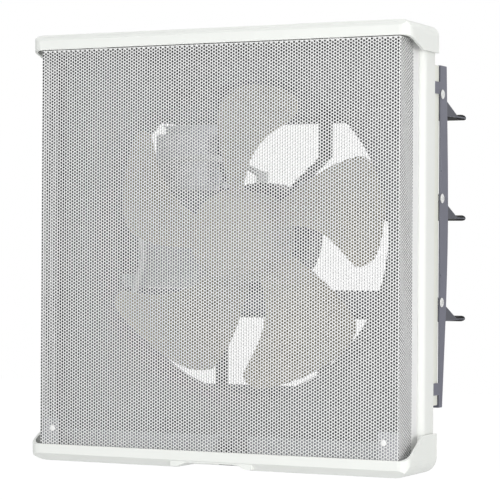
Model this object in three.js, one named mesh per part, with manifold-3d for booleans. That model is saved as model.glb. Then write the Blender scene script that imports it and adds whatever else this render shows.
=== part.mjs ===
// Window exhaust fan: an orifice panel and square duct that fill a wall or window opening,
// a five-blade propeller on a shaded-pole motor, three outside shutter leaves that open and
// close together, and a perforated cover with a bottom trim that swings out for cleaning.
//
// Millimetres. X runs to the right seen from the room, Y from the room to the outside, Z up.
// The origin is on the fan's axis, in the plane of the wall that the panel rests on.

import * as THREE from 'three';
import { mergeVertices } from 'three/addons/utils/BufferGeometryUtils.js';
import Module from 'manifold-3d';

const wasm = await Module();
wasm.setup();

// ---------------------------------------------------------------- driving dimensions

const fitGap = 0.3; // between pieces that touch
const runGap = 0.6; // between pieces that slide or turn

// Propeller and spinner
const bladeRadius = 131.5;
const bladeCount = 5;
const bladeThickness = 2;
const bladeFront = -31; // leading tips
const bladeBack = 18; // trailing corners
const bladePhase = 57.7; // degrees from +X to the first leading tip
const hubRadius = 38.5;
const hubWall = 2.5;
const hubFront = -16;
const spinnerLip = 2; // how far the spinner stands out around the hub
const spinnerNose = 22; // from the hub's front to the nose

// Orifice panel
const throatGap = 4.5; // blade tip to orifice throat
const mouthRadius = 14;
const panelSideBorder = 25.8; // from the duct's side to the panel's
const panelTopBorder = 22.8;
const panelBottomBorder = 47.3;
const panelDepth = 22;
const panelWall = 2.5;
const panelRim = 8; // flat land that rests on the wall
const panelCorner = 6;
const ductSeat = 7; // height of the rib that the duct is screwed to

// Perforated cover
const coverInset = 5.5; // from the panel's side to the cover's
const coverDepth = 39.7;
const coverSheet = 1;
const meshColumns = 12; // the fine perforation as a plain grid of openings
const meshRows = 12;
const meshMargin = 6;
const meshBar = 16.5; // metal between two openings side by side
const meshRail = 3; // metal between two openings one above the other
const sideMeshDepth = 28; // how far back the side walls are perforated

// Top and bottom trims
const trimWall = 2.2;
const trimSideGap = 1.3;
const trimLip = 3; // how far the trims stand out in front of the cover
const topTrimFace = 13;
const bottomTrimFace = 14.5;
const bottomTrimGap = 0.8;
const coverTuck = 6; // how far the cover reaches down behind the bottom trim
const trimWing = 22.5; // height of the top trim's side wings at the wall
const bottomTrimWing = 32.5;
const trimWingSlope = 31; // length of the sloping front stretch of both wings
const trimCorner = 9;
const bottomTrimCorner = 13;

// Finger recess and latch, at the middle of the bottom trim
const recessWidth = 72;
const recessRamp = 12; // its sloping ends
const recessHeight = 4.5;
const recessBack = -26;
const latchWidth = 13;
const latchThickness = 5;
const latchSheet = 1.5; // its arm and nose
const latchBack = -31;
const latchTravel = 3;
const latchRise = 18; // from the trim's bottom to the latch's top

// Cover's bottom rail and corner brackets
const railHeight = 15.5;
const railGap = 16; // half of the opening that the latch works in
const bracketWidth = 17;
const bracketHeight = 27;
const rivetRadius = 2.6;
const rivetInset = 13; // from the cover's side
const rivetRise = 13.5; // above the bottom trim's edge
const hookSpacing = 220;
const hookWidth = 14;

// Duct
const ductSideMargin = 10.7; // from the throat to the duct's side
const ductTopMargin = 9.7;
const ductCentre = 2.5; // the duct's middle lies above the axis
const ductBack = 76;
const ductWall = 1.2;
const ductFlange = 11;

// Shutter frame
const frameSheet = 1;
const frameRearTop = 91;
const frameRearMiddle = 96;
const frameRearBottom = 84;
const tabLength = 22;
const tabHeight = 10.3;
const tabInset = 14.5; // below the frame's top
const tabInsetBottom = 9; // above its bottom

// Shutter leaves
const leafCount = 3;
const leafPitch = 89.5;
const leafPivotInset = 24.4; // from the duct's top to the top pivot
const leafPivotY = 80.5;
const leafInset = 5.5; // from the frame's side to the leaf's end
const leafSheet = 1;
const leafRise = 9.5; // the leaf's front edge above its pivot
const leafReach = 55; // pivot to the bend
const leafDrop = 15.2; // the bend below the pivot
const lipLength = 21.5;
const sealThickness = 1.8;
const pivotRadius = 2.3;
const pivotHeadRadius = 4.2;
const pivotHead = 1.2;
const crankBack = 12; // crank pin in front of the pivot
const crankDrop = 6; // and below it
const crankRadius = 2;
const linkWidth = 8;
const linkSheet = 1.2;

// Shutter actuator
const actuatorWidth = 56;
const actuatorDepth = 17;
const actuatorHeight = 54;
const actuatorDrop = 25.3; // from the middle leaf's pivot to the case's top
const slideHeight = 22;
const slideThickness = 2.2;
const slidePinDrop = 49.3; // from the same pivot to the slide's pin

// Motor
const motorRadius = 48;
const motorFront = 22;
const motorBack = 60;
const motorSplit = 37;
const motorWall = 1.5;
const shaftRadius = 4;
const bearingRadius = 8;
const bearingLength = 7.5;
const rotorRadius = 21.5;
const stackLength = 20;
const airGap = 0.6;
const lugX = 37;
const lugZ = 46;
const lugThickness = 2.7;
const lugRadius = 7;
const screwRadius = 2;
const screwHeadRadius = 4;
const screwHead = 2;

// Motor arms
const armWidth = 12;
const armSheet = 2;
const armX = 50;
const armY = 55;
const armBend = 70; // height where an arm leaves the vertical
const armFoot = 16;

// Electrical parts
const capacitorWidth = 50;
const capacitorDepth = 19;
const capacitorHeight = 46;
const capacitorBottom = 46;
const terminalWidth = 37;
const terminalDepth = 30;
const terminalHeight = 30;
const terminalFront = 20;
const glandRadius = 9;
const leadRadius = 3;

// ---------------------------------------------------------------- derived places

const rad = THREE.MathUtils.degToRad;
const throatRadius = bladeRadius + throatGap;
const mouthOuter = throatRadius + mouthRadius;
const ductWidth = 2 * (throatRadius + ductSideMargin);
const ductHeight = 2 * (throatRadius + ductTopMargin);
const ductHalf = ductWidth / 2;
const ductTop = ductCentre + ductHeight / 2;
const ductBottom = ductCentre - ductHeight / 2;
const panelWidth = ductWidth + 2 * panelSideBorder;
const panelTop = ductTop + panelTopBorder;
const panelBottom = ductBottom - panelBottomBorder;
const coverWidth = panelWidth - 2 * coverInset;
const panelFront = -panelDepth;
const coverBack = panelFront - fitGap;
const coverFront = coverBack - coverDepth;
const trimFront = coverFront - trimLip;
const trimHalf = panelWidth / 2 + trimSideGap + trimWall;
const trimTop = panelTop + fitGap + trimWall;
const trimTopEdge = trimTop - topTrimFace;
const coverTop = trimTopEdge - 0.5;
const trimBottom = panelBottom - bottomTrimGap - trimWall;
const trimBottomEdge = trimBottom + bottomTrimFace;
const coverBottom = trimBottomEdge - coverTuck;
const panelPlateBack = panelFront + panelWall;
const ductFront = panelPlateBack + ductSeat + fitGap;
const frameInner = ductHalf + fitGap;
const frameOuter = frameInner + frameSheet;
const leafHalf = frameInner - leafInset;
const leafPivotTop = ductTop - leafPivotInset;
const leafPivots = Array.from({ length: leafCount }, (_, i) => leafPivotTop - i * leafPitch);
const actuatorTop = leafPivots[1] - actuatorDrop;
const slidePin = leafPivots[1] - slidePinDrop;
const motorRearSeat = motorBack - motorWall;
const stackFront = (motorFront + motorBack - stackLength) / 2;
const stackBack = stackFront + stackLength;

// ---------------------------------------------------------------- geometry helpers

// A three.js geometry as a manifold solid, with its faces turned outwards.
function solid(geometry) {
  const bare = geometry.index ? geometry.toNonIndexed() : geometry.clone();
  bare.deleteAttribute('normal');
  bare.deleteAttribute('uv');
  const merged = mergeVertices(bare, 1e-4);
  const position = merged.attributes.position;
  const corners = [0, 1, 2].map(() => new THREE.Vector3());
  const kept = [];
  let volume = 0;
  for (let i = 0; i < merged.index.count; i += 3) {
    const face = [0, 1, 2].map((k) => merged.index.getX(i + k));
    if (new Set(face).size < 3) continue;
    face.forEach((v, k) => corners[k].fromBufferAttribute(position, v));
    volume += corners[0].dot(corners[1].clone().cross(corners[2]));
    kept.push(face);
  }
  const triVerts = new Uint32Array(kept.flatMap((f) => (volume < 0 ? [f[0], f[2], f[1]] : f)));
  const vertProperties = new Float32Array(position.array);
  return new wasm.Manifold(new wasm.Mesh({ numProp: 3, vertProperties, triVerts }));
}

// A manifold solid back as a three.js geometry.
function geometryOf(shape) {
  const mesh = shape.getMesh();
  const geometry = new THREE.BufferGeometry();
  geometry.setAttribute('position', new THREE.BufferAttribute(mesh.vertProperties, 3));
  geometry.setIndex(new THREE.BufferAttribute(mesh.triVerts, 1));
  geometry.computeVertexNormals();
  return geometry;
}

function outline(points) {
  return new THREE.Shape(points.map(([x, y]) => new THREE.Vector2(x, y)));
}

// A rectangle with the same round on its four corners.
function roundedRect(x0, x1, y0, y1, radius) {
  const shape = new THREE.Shape();
  shape.moveTo(x0 + radius, y0);
  shape.lineTo(x1 - radius, y0);
  shape.absarc(x1 - radius, y0 + radius, radius, -Math.PI / 2, 0);
  shape.lineTo(x1, y1 - radius);
  shape.absarc(x1 - radius, y1 - radius, radius, 0, Math.PI / 2);
  shape.lineTo(x0 + radius, y1);
  shape.absarc(x0 + radius, y1 - radius, radius, Math.PI / 2, Math.PI);
  shape.lineTo(x0, y0 + radius);
  shape.absarc(x0 + radius, y0 + radius, radius, Math.PI, Math.PI * 1.5);
  return shape;
}

const alongX = new THREE.Matrix4().makeBasis(
  new THREE.Vector3(0, 1, 0),
  new THREE.Vector3(0, 0, 1),
  new THREE.Vector3(1, 0, 0),
);

function plainExtrusion(depth) {
  return { depth, bevelEnabled: false, curveSegments: 3 };
}

// Prisms of an outline: in the YZ plane along X, in the XZ plane along Y, in the XY plane along Z.
function prismX(shape, x0, x1) {
  const geometry = new THREE.ExtrudeGeometry(shape, plainExtrusion(x1 - x0));
  return solid(geometry.applyMatrix4(alongX).translate(x0, 0, 0));
}

function prismY(shape, y0, y1) {
  const geometry = new THREE.ExtrudeGeometry(shape, plainExtrusion(y1 - y0));
  return solid(geometry.rotateX(Math.PI / 2).translate(0, y1, 0));
}

function prismZ(shape, z0, z1) {
  const geometry = new THREE.ExtrudeGeometry(shape, plainExtrusion(z1 - z0));
  return solid(geometry.translate(0, 0, z0));
}

function box(x0, x1, y0, y1, z0, z1) {
  const geometry = new THREE.BoxGeometry(x1 - x0, y1 - y0, z1 - z0);
  return solid(geometry.translate((x0 + x1) / 2, (y0 + y1) / 2, (z0 + z1) / 2));
}

// A turned piece about the fan's axis, from points of radius and depth.
function turned(points, segments = 24) {
  const profile = points.map(([r, y]) => new THREE.Vector2(Math.max(r, 0), y));
  const closed = points[0][0] > 0 ? [...profile, profile[0].clone()] : profile;
  return solid(new THREE.LatheGeometry(closed, segments));
}

function rodY(x, z, radius, y0, y1, segments = 10) {
  const geometry = new THREE.CylinderGeometry(radius, radius, y1 - y0, segments);
  return solid(geometry.translate(x, (y0 + y1) / 2, z));
}

function rodX(y, z, radius, x0, x1, segments = 10) {
  const geometry = new THREE.CylinderGeometry(radius, radius, x1 - x0, segments);
  return solid(geometry.rotateZ(Math.PI / 2).translate((x0 + x1) / 2, y, z));
}

function rodZ(x, y, radius, z0, z1, segments = 10) {
  const geometry = new THREE.CylinderGeometry(radius, radius, z1 - z0, segments);
  return solid(geometry.rotateX(Math.PI / 2).translate(x, y, (z0 + z1) / 2));
}

// A strip with the same level cross-section at both ends.
function strip(from, to, width, thickness) {
  const section = [[-1, -1], [1, -1], [1, 1], [-1, 1]];
  const ring = (p) => section.map(([i, j]) => [p[0] + (i * width) / 2, p[1] + (j * thickness) / 2, p[2]]);
  const positions = [...ring(from), ...ring(to)].flat();
  const sides = [0, 1, 2, 3].flatMap((k) => {
    const next = (k + 1) % 4;
    return [k, next, next + 4, k, next + 4, k + 4];
  });
  const geometry = new THREE.BufferGeometry();
  geometry.setAttribute('position', new THREE.Float32BufferAttribute(positions, 3));
  geometry.setIndex([0, 2, 1, 0, 3, 2, 4, 5, 6, 4, 6, 7, ...sides]);
  return solid(geometry);
}

function union(shapes) {
  return shapes.reduce((whole, shape) => whole.add(shape));
}

// ---------------------------------------------------------------- scene graph

const fan = new THREE.Group();
fan.name = 'window_exhaust_fan';

const white = { color: 0xe9ebe6, roughness: 0.45, metalness: 0 };
const ivory = { color: 0xdfe1d8, roughness: 0.5, metalness: 0.1 };
const beige = { color: 0xd8d3c5, roughness: 0.5, metalness: 0 };
const mesh = { color: 0xc9cacc, roughness: 0.35, metalness: 0.7 };
const slate = { color: 0x7f818d, roughness: 0.5, metalness: 0.4 };
const dark = { color: 0x2c2c30, roughness: 0.6, metalness: 0.3 };
const black = { color: 0x111112, roughness: 0.8, metalness: 0 };
const nylon = { color: 0xf2f2f0, roughness: 0.5, metalness: 0 };
const steel = { color: 0xa9abae, roughness: 0.35, metalness: 0.9 };
const copper = { color: 0xb06a3c, roughness: 0.5, metalness: 0.6 };
const bronze = { color: 0x9b7a4a, roughness: 0.4, metalness: 0.8 };
const grey = { color: 0xb9bac2, roughness: 0.5, metalness: 0.1 };

function add(name, shape, look) {
  const piece = new THREE.Mesh(geometryOf(shape), new THREE.MeshStandardMaterial(look));
  piece.name = name;
  fan.add(piece);
}

// ---------------------------------------------------------------- orifice panel and duct

// A tray with a flat land round its open back and a rib that the duct is screwed to.
function orificePanel() {
  const half = panelWidth / 2;
  const outer = prismY(roundedRect(-half, half, panelBottom, panelTop, panelCorner), panelFront, 0);
  const inside = (inset, y0, y1) => prismY(
    roundedRect(-half + inset, half - inset, panelBottom + inset, panelTop - inset, panelCorner / 2),
    y0,
    y1,
  );
  const tray = outer
    .subtract(inside(panelWall, panelPlateBack, -panelWall))
    .subtract(inside(panelRim, -panelWall - 1, 1))
    .subtract(rodY(0, 0, mouthOuter + fitGap, panelFront - 1, panelPlateBack + 1, 48));
  const ribBack = ductFront - fitGap;
  const reach = ductFlange - 0.5;
  const ribHole = mouthOuter + 1;
  const rib = box(-ductHalf - reach, ductHalf + reach, panelPlateBack - 0.5, ribBack,
    ductBottom - reach, ductTop + reach)
    .subtract(box(-ribHole, ribHole, panelPlateBack - 1, ribBack + 1, -ribHole, ribHole));
  return panelScrewPlaces().reduce(
    (panel, [x, z]) => panel.subtract(rodY(x, z, screwRadius, ribBack - ductSeat + 1, ribBack + 1)),
    tray.add(rib),
  );
}

// The bell mouth fits in the panel's hole and narrows to the throat round the propeller.
function orificeRing() {
  const steps = 3;
  const centreY = panelFront + mouthRadius;
  const arc = (radius) => Array.from({ length: steps + 1 }, (_, i) => {
    const turn = rad((90 * i) / steps);
    return [mouthOuter - radius * Math.sin(turn), centreY - radius * Math.cos(turn)];
  });
  return turned([
    ...arc(mouthRadius),
    [throatRadius, bladeBack],
    [throatRadius + panelWall, bladeBack],
    ...arc(mouthRadius - panelWall).reverse(),
  ], 48);
}

function panelScrewPlaces() {
  return [-1, 1].map((side) => [side * (ductHalf + ductFlange - 3.7), ductBottom + ductFlange]);
}

function ductBox() {
  const front = ductFront;
  const flange = box(-ductHalf - ductFlange, ductHalf + ductFlange, front, front + ductWall,
    ductBottom - ductFlange, ductTop + ductFlange);
  const outer = box(-ductHalf, ductHalf, front, ductBack, ductBottom, ductTop);
  const inner = box(-ductHalf + ductWall, ductHalf - ductWall, front - 1, ductBack + 1,
    ductBottom + ductWall, ductTop - ductWall);
  let duct = flange.add(outer).subtract(inner);
  for (const [x, z] of panelScrewPlaces()) {
    duct = duct.subtract(rodY(x, z, screwRadius, front - 1, front + ductWall + 1));
  }
  for (const { x, y } of armFeet()) {
    duct = duct.subtract(rodZ(x, y, screwRadius + fitGap, ductBottom - 1, ductTop + 1));
  }
  const { y, z } = glandPlace();
  return duct.subtract(rodX(y, z, glandRadius - 3 + fitGap, -ductHalf - 1, -ductHalf + ductWall + 1));
}

function panelScrew([x, z]) {
  const seat = ductFront + ductWall + fitGap;
  const shank = rodY(x, z, screwRadius - fitGap, ductFront - ductSeat + 1, seat + 1);
  return shank.add(rodY(x, z, screwHeadRadius, seat, seat + screwHead));
}

// ---------------------------------------------------------------- trims

// A trim is a channel: the outline of its side, cut to its front and plan outlines, less its hollow.
function trimShell(side, front, plan, hollows) {
  const solidTrim = prismX(side, -trimHalf, trimHalf)
    .intersect(prismY(front, trimFront - 1, 1))
    .intersect(prismZ(plan, trimBottom - 1, trimTop + 1));
  return hollows.reduce((trim, hollow) => trim.subtract(hollow), solidTrim);
}

// Seen from above, both trims are square at the wall and have rounded front corners.
function trimPlan(inset) {
  const half = trimHalf - inset;
  const front = trimFront + inset;
  const radius = trimCorner - inset / 2;
  const shape = new THREE.Shape();
  shape.moveTo(-half, inset ? 1 : 0);
  shape.lineTo(-half, front + radius);
  shape.absarc(-half + radius, front + radius, radius, Math.PI, Math.PI * 1.5);
  shape.lineTo(half - radius, front);
  shape.absarc(half - radius, front + radius, radius, -Math.PI / 2, 0);
  shape.lineTo(half, inset ? 1 : 0);
  return shape;
}

function topTrim() {
  const wing = trimTop - trimWing;
  const side = outline([
    [trimFront, trimTopEdge],
    [trimFront + trimWall, trimTopEdge],
    [trimFront + trimWingSlope, wing],
    [0, wing],
    [0, trimTop],
    [trimFront + 4, trimTop],
    [trimFront, trimTop - 5],
  ]);
  const front = roundedRect(-trimHalf, trimHalf, wing - trimCorner, trimTop, trimCorner);
  const hollow = prismZ(trimPlan(trimWall), wing - 1, trimTop - trimWall)
    .intersect(prismY(roundedRect(-trimHalf + trimWall, trimHalf - trimWall, wing - trimCorner,
      trimTop - trimWall, panelCorner), trimFront - 1, 2));
  const trim = trimShell(side, front, trimPlan(0), [hollow]);
  const ledgeTop = hookLedge();
  const ledges = hookPlaces().map((x) => box(x - hookWidth / 2 - 2, x + hookWidth / 2 + 2,
    trimFront + trimWall / 2, coverFront + 1, ledgeTop - 1, ledgeTop));
  return union([trim, ...ledges]);
}

function hookPlaces() {
  return [-hookSpacing / 2, hookSpacing / 2];
}

function hookLedge() {
  return trimTopEdge + 3.5;
}

function bottomTrim() {
  const wing = trimBottom + bottomTrimWing;
  const side = outline([
    [trimFront, trimBottomEdge],
    [trimFront, trimBottom + 6.5],
    [trimFront + 7, trimBottom],
    [-fitGap, trimBottom],
    [-fitGap, wing],
    [trimFront + trimWingSlope + 4, wing],
    [trimFront + trimWall, trimBottomEdge],
  ]);
  const front = roundedRect(-trimHalf, trimHalf, trimBottom, wing + bottomTrimCorner, bottomTrimCorner);
  const hollow = prismZ(trimPlan(trimWall), trimBottom + trimWall, wing + 1)
    .intersect(prismY(roundedRect(-trimHalf + trimWall, trimHalf - trimWall, trimBottom + trimWall,
      wing + bottomTrimCorner, bottomTrimCorner - trimWall * 2), trimFront - 1, 2))
    .intersect(prismX(outline([
      [trimFront + trimWall, wing + 2],
      [trimFront + trimWall, trimBottom + 7.5],
      [trimFront + 8, trimBottom + trimWall],
      [2, trimBottom + trimWall],
      [2, wing + 2],
    ]), -trimHalf, trimHalf));
  const recessTop = trimBottom + recessHeight;
  const half = recessWidth / 2;
  const pocket = box(-half - 2, half + 2, trimFront + trimWall / 2, recessBack + 2,
    trimBottom + 1, recessTop + 2);
  const scoop = prismY(outline([
    [-half, trimBottom - 1],
    [-half + recessRamp, recessTop],
    [half - recessRamp, recessTop],
    [half, trimBottom - 1],
  ]), trimFront - 1, recessBack);
  const latchHole = box(-latchWidth / 2 - runGap, latchWidth / 2 + runGap,
    latchBack - latchThickness - runGap, latchBack + runGap, trimBottom - 2, recessTop + 3);
  return trimShell(side, front, trimPlan(0), [hollow]).add(pocket).subtract(scoop).subtract(latchHole);
}

// ---------------------------------------------------------------- cover

// The cover's perforated sheet as a plain tray, open at the back, with two hooks on its top.
function perforatedCover() {
  const half = coverWidth / 2;
  const outer = prismY(roundedRect(-half, half, coverBottom, coverTop, 2), coverFront, coverBack);
  const inner = prismY(roundedRect(-half + coverSheet, half - coverSheet, coverBottom + coverSheet,
    coverTop - coverSheet, 1), coverFront + coverSheet, coverBack + 1);
  const slot = box(-latchWidth / 2 - 2, latchWidth / 2 + 2, latchBack - latchThickness - 2, latchBack + 2,
    coverBottom - 1, coverBottom + coverSheet + 1);
  const hooks = hookPlaces().map(coverHook);
  return union([outer.subtract(inner).subtract(slot).subtract(meshOpenings()), ...hooks]);
}

function meshOpenings() {
  const half = coverWidth / 2 - meshMargin;
  const low = coverBottom + meshMargin;
  const across = (2 * half) / meshColumns;
  const up = (coverTop - meshMargin - low) / meshRows;
  const cuts = [];
  for (let j = 0; j < meshRows; j += 1) {
    const z0 = low + up * j + meshRail / 2;
    const z1 = z0 + up - meshRail;
    for (let i = 0; i < meshColumns; i += 1) {
      const x0 = -half + across * i + meshBar / 2;
      cuts.push(box(x0, x0 + across - meshBar, coverFront - 1, coverFront + coverSheet + 1, z0, z1));
    }
    const middle = coverFront + sideMeshDepth / 2;
    const reach = (across - meshBar) / 2;
    cuts.push(box(-coverWidth, coverWidth, middle - reach, middle + reach, z0, z1));
  }
  return union(cuts);
}

// A hook rises behind the top trim's lip and bends forward over the trim's ledge.
function coverHook(x) {
  const seat = hookLedge() + fitGap;
  const back = coverFront + 2.6;
  const side = outline([
    [back - 1, coverTop - coverSheet / 2],
    [back, coverTop - coverSheet / 2],
    [back, seat + 1],
    [coverFront - 0.4, seat + 1],
    [coverFront - 0.4, seat],
    [back - 1, seat],
  ]);
  return prismX(side, x - hookWidth / 2, x + hookWidth / 2);
}

// The rail closes the cover's bottom rear edge and carries the latch's guide in its middle.
function bottomRail() {
  const half = coverWidth / 2 - coverSheet - fitGap;
  const seat = coverBottom + coverSheet + fitGap;
  const back = coverBack - 2;
  const guideFront = latchBack - latchThickness - runGap - 1;
  const angle = outline([
    [back, seat],
    [back, seat + railHeight],
    [back - 1, seat + railHeight],
    [back - 1, seat + 1],
    [guideFront, seat + 1],
    [guideFront, seat],
  ]);
  const inner = latchWidth / 2 + runGap;
  const roof = guideTop();
  const notch = box(-railGap, railGap, back - 2, back + 1, seat - 1, seat + railHeight + 1);
  const slot = box(-inner, inner, guideFront - 1, latchBack + runGap, seat - 1, seat + 2);
  const window = box(-inner - 1, inner + 1, noseBack() - 5, back + 1, seat - 1, seat + 2);
  const guide = box(-inner - 1, inner + 1, guideFront, latchBack + runGap, seat, roof + 1)
    .subtract(box(-inner, inner, guideFront - 1, latchBack + runGap + 1, seat - 1, roof));
  return prismX(angle, -half, half).subtract(notch).subtract(slot).subtract(window).add(guide);
}

function guideTop() {
  return trimBottom + latchRise + latchTravel + 4.5;
}

function cornerBracket(side) {
  const outer = side * (coverWidth / 2 - coverSheet - fitGap);
  const inner = outer - side * bracketWidth;
  const front = coverFront + coverSheet + fitGap;
  const seat = coverBottom + coverSheet + fitGap;
  const plate = box(Math.min(outer, inner), Math.max(outer, inner), front, front + 1, seat,
    seat + bracketHeight);
  const foot = box(Math.min(outer, inner), Math.max(outer, inner), front, front + 12, seat, seat + 1);
  const wall = box(Math.min(outer, outer - side), Math.max(outer, outer - side), front, front + 12,
    seat, seat + bracketHeight);
  return union([plate, foot, wall]).subtract(rodY(rivetX(side), rivetZ(), rivetRadius - 0.8, front - 1,
    front + 2));
}

function rivetX(side) {
  return side * (coverWidth / 2 - rivetInset);
}

function rivetZ() {
  return trimBottomEdge + rivetRise;
}

// Behind the sheet: a head against the bracket, with its shank in the bracket's hole.
function coverRivet(side) {
  const seat = coverFront + coverSheet + fitGap + 1 + fitGap;
  const head = rodY(rivetX(side), rivetZ(), rivetRadius, seat, seat + 1.5);
  return head.add(rodY(rivetX(side), rivetZ(), rivetRadius - 1.1, coverFront + coverSheet + 0.2, seat + 0.5));
}

// The latch is pushed up from the recess; its nose hangs behind the strike's lip until then.
function coverLatch() {
  const half = latchWidth / 2;
  const top = trimBottom + latchRise;
  const body = box(-half, half, latchBack - latchThickness, latchBack, trimBottom + 1, top);
  const arm = box(-half + 1, half - 1, latchBack - 1, noseBack(), latchArmBottom(), top);
  const nose = box(-half + 1, half - 1, noseBack() - latchSheet, noseBack(),
    latchArmBottom() - latchTravel - fitGap, top);
  return union([body, arm, nose]);
}

function latchArmBottom() {
  return trimBottom + latchRise - latchSheet;
}

function noseBack() {
  return coverBack - 2.2;
}

function latchStrike() {
  const tongue = coverBottom + coverSheet + 1;
  const half = latchWidth / 2;
  const back = coverBack;
  const lip = noseBack() - latchSheet - 2.2;
  const side = outline([
    [back, tongue],
    [back, tongue + 8],
    [back - 1, tongue + 8],
    [back - 1, tongue + 1],
    [lip + 1, tongue + 1],
    [lip + 1, latchArmBottom() - runGap],
    [lip, latchArmBottom() - runGap],
    [lip, tongue],
  ]);
  return prismX(side, -half, half);
}

// A short coil between the latch's top and the guide's roof.
function latchSpring() {
  const bottom = trimBottom + latchRise + fitGap;
  const top = guideTop() - fitGap;
  const wire = 0.45;
  const coil = 2.2;
  const turns = 3.5;
  const steps = 30;
  const y = latchBack - latchThickness / 2;
  const rise = top - bottom - 2 * wire;
  const points = Array.from({ length: steps + 1 }, (_, i) => {
    const turn = (2 * Math.PI * turns * i) / steps;
    const z = bottom + wire + (rise * i) / steps;
    return new THREE.Vector3(coil * Math.cos(turn), y + coil * Math.sin(turn), z);
  });
  const path = new THREE.CatmullRomCurve3(points);
  const section = new THREE.Shape();
  section.absarc(0, 0, wire, 0, Math.PI * 2);
  return solid(new THREE.ExtrudeGeometry(section, { steps, extrudePath: path, curveSegments: 2 }));
}

// ---------------------------------------------------------------- shutter

// The frame's side plates lap over the duct with two tabs each; rails join them top and bottom.
function shutterFrame() {
  const top = ductTop + fitGap;
  const bottom = ductBottom - fitGap;
  const front = ductBack + fitGap;
  const plate = new THREE.Shape();
  plate.moveTo(front, bottom);
  plate.lineTo(frameRearBottom, bottom);
  plate.splineThru([
    [frameRearMiddle - 3, -51.5],
    [frameRearMiddle, 30],
    [frameRearTop, top],
  ].map(([y, z]) => new THREE.Vector2(y, z)));
  plate.lineTo(front, top);
  const tabs = [top - tabInset - tabHeight, bottom + tabInsetBottom];
  const sidePlate = (x0, x1) => union([
    prismX(plate, x0, x1),
    ...tabs.map((z) => box(x0, x1, front - tabLength, front + 1, z, z + tabHeight)),
  ]);
  const railBack = frameRearBottom - 1;
  const topRail = outline([
    [front, top],
    [front, top - 10.5],
    [front + 1, top - 10.5],
    [front + 1, top - 1],
    [frameRearTop - 1, top - 1],
    [frameRearTop - 1, top - 15],
    [frameRearTop, top - 15],
    [frameRearTop, top],
  ]);
  const bottomRailSide = outline([
    [front, bottom],
    [railBack, bottom],
    [railBack, bottom + 12],
    [railBack - 1, bottom + 12],
    [railBack - 1, bottom + 1],
    [front + 1, bottom + 1],
    [front + 1, bottom + 5],
    [front, bottom + 5],
  ]);
  let frame = union([
    sidePlate(-frameOuter, -frameInner),
    sidePlate(frameInner, frameOuter),
    prismX(topRail, -frameOuter, frameOuter),
    prismX(bottomRailSide, -frameOuter, frameOuter),
  ]);
  for (const z of leafPivots) {
    frame = frame.subtract(rodX(leafPivotY, z, pivotRadius + fitGap, -frameOuter - 1, frameOuter + 1));
  }
  for (const z of leafPivots.slice(0, -1)) {
    frame = frame.subtract(rodX(front + 2.5, z - leafPitch * 0.74, 1.1, -frameOuter - 1, frameOuter + 1, 8));
  }
  return frame;
}

// A headed pin goes in through the frame's side plate and carries one end of a leaf.
function pivotPin(side, z) {
  const head = frameOuter + fitGap;
  const inner = leafHalf - leafSheet - 1.5;
  const x = (a, b) => (side > 0 ? [a, b] : [-b, -a]);
  const [s0, s1] = x(inner, head + 0.2);
  const [h0, h1] = x(head, head + pivotHead);
  return rodX(leafPivotY, z, pivotRadius, s0, s1).add(rodX(leafPivotY, z, pivotHeadRadius, h0, h1, 16));
}

// Places on a leaf are given from its pivot: back along Y and up along Z.
function leaf(z) {
  const at = ([y, up]) => [leafPivotY + y, z + up];
  const slope = Math.atan2(leafRise + leafDrop, leafReach + 3);
  const across = leafSheet / Math.cos(slope);
  const end = leafReach + lipLength;
  const sheet = outline([
    [-3, leafRise],
    [-3, leafRise - across],
    [leafReach, -leafDrop - across],
    [end, -leafDrop - leafSheet],
    [end, -leafDrop],
    [leafReach + 0.5, -leafDrop],
  ].map(at));
  const ear = (crank) => outline([
    [-3, leafRise - 0.2],
    [leafReach, -leafDrop - 0.2],
    [leafReach, -leafDrop - across],
    [leafReach * 0.22, -leafDrop - 2],
    ...(crank ? [
      [-crankBack - 1, -crankDrop - 4.5],
      [-crankBack - 4, -crankDrop],
      [-crankBack, -crankDrop + 4.5],
    ] : [[-5, -6]]),
    [-5, 6],
  ].map(at));
  const body = union([
    prismX(sheet, -leafHalf, leafHalf),
    prismX(ear(false), leafHalf - leafSheet, leafHalf),
    prismX(ear(true), -leafHalf, -leafHalf + leafSheet),
    rodX(leafPivotY - crankBack, z - crankDrop, crankRadius, -leafHalf + leafSheet / 2, linkInner() + 0.8),
  ]);
  return body.subtract(rodX(leafPivotY, z, pivotRadius + fitGap, -leafHalf - 1, leafHalf + 1));
}

// A black strip under the leaf's lip.
function leafSeal(z) {
  const at = ([y, up]) => [leafPivotY + y, z + up];
  const under = -leafDrop - leafSheet - fitGap;
  const end = leafReach + lipLength;
  return prismX(outline([
    [leafReach - 9, under - sealThickness * 0.4],
    [leafReach + 1, under - sealThickness],
    [end - 3, under - sealThickness * 0.8],
    [end + 3.5, under + 1],
    [end + fitGap, under + 1],
    [end + fitGap, under],
    [leafReach + 2, under],
  ].map(at)), -leafHalf + 1, leafHalf - 1);
}

function linkInner() {
  return -leafHalf + leafSheet + runGap + linkSheet;
}

// The link joins the three cranks; a pin on its side reaches into the actuator's slide.
function shutterLink() {
  const y = leafPivotY - crankBack;
  const cranks = leafPivots.map((z) => z - crankDrop);
  const low = cranks[leafCount - 1] - linkWidth / 2;
  const high = cranks[0] + linkWidth / 2;
  const bar = box(linkInner() - linkSheet, linkInner(), y - linkWidth / 2, y + linkWidth / 2, low, high);
  const pin = rodX(y, slidePin, crankRadius - 0.2, linkInner() - 0.5, slideOuter() + slideThickness - 0.4);
  const hole = (z) => rodX(y, z, crankRadius + fitGap, linkInner() - linkSheet - 1, linkInner() + 1);
  return cranks.reduce((link, z) => link.subtract(hole(z)), bar.add(pin));
}

function slideOuter() {
  return linkInner() + 3.6;
}

function caseSide() {
  return slideOuter() + slideThickness + fitGap;
}

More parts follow.
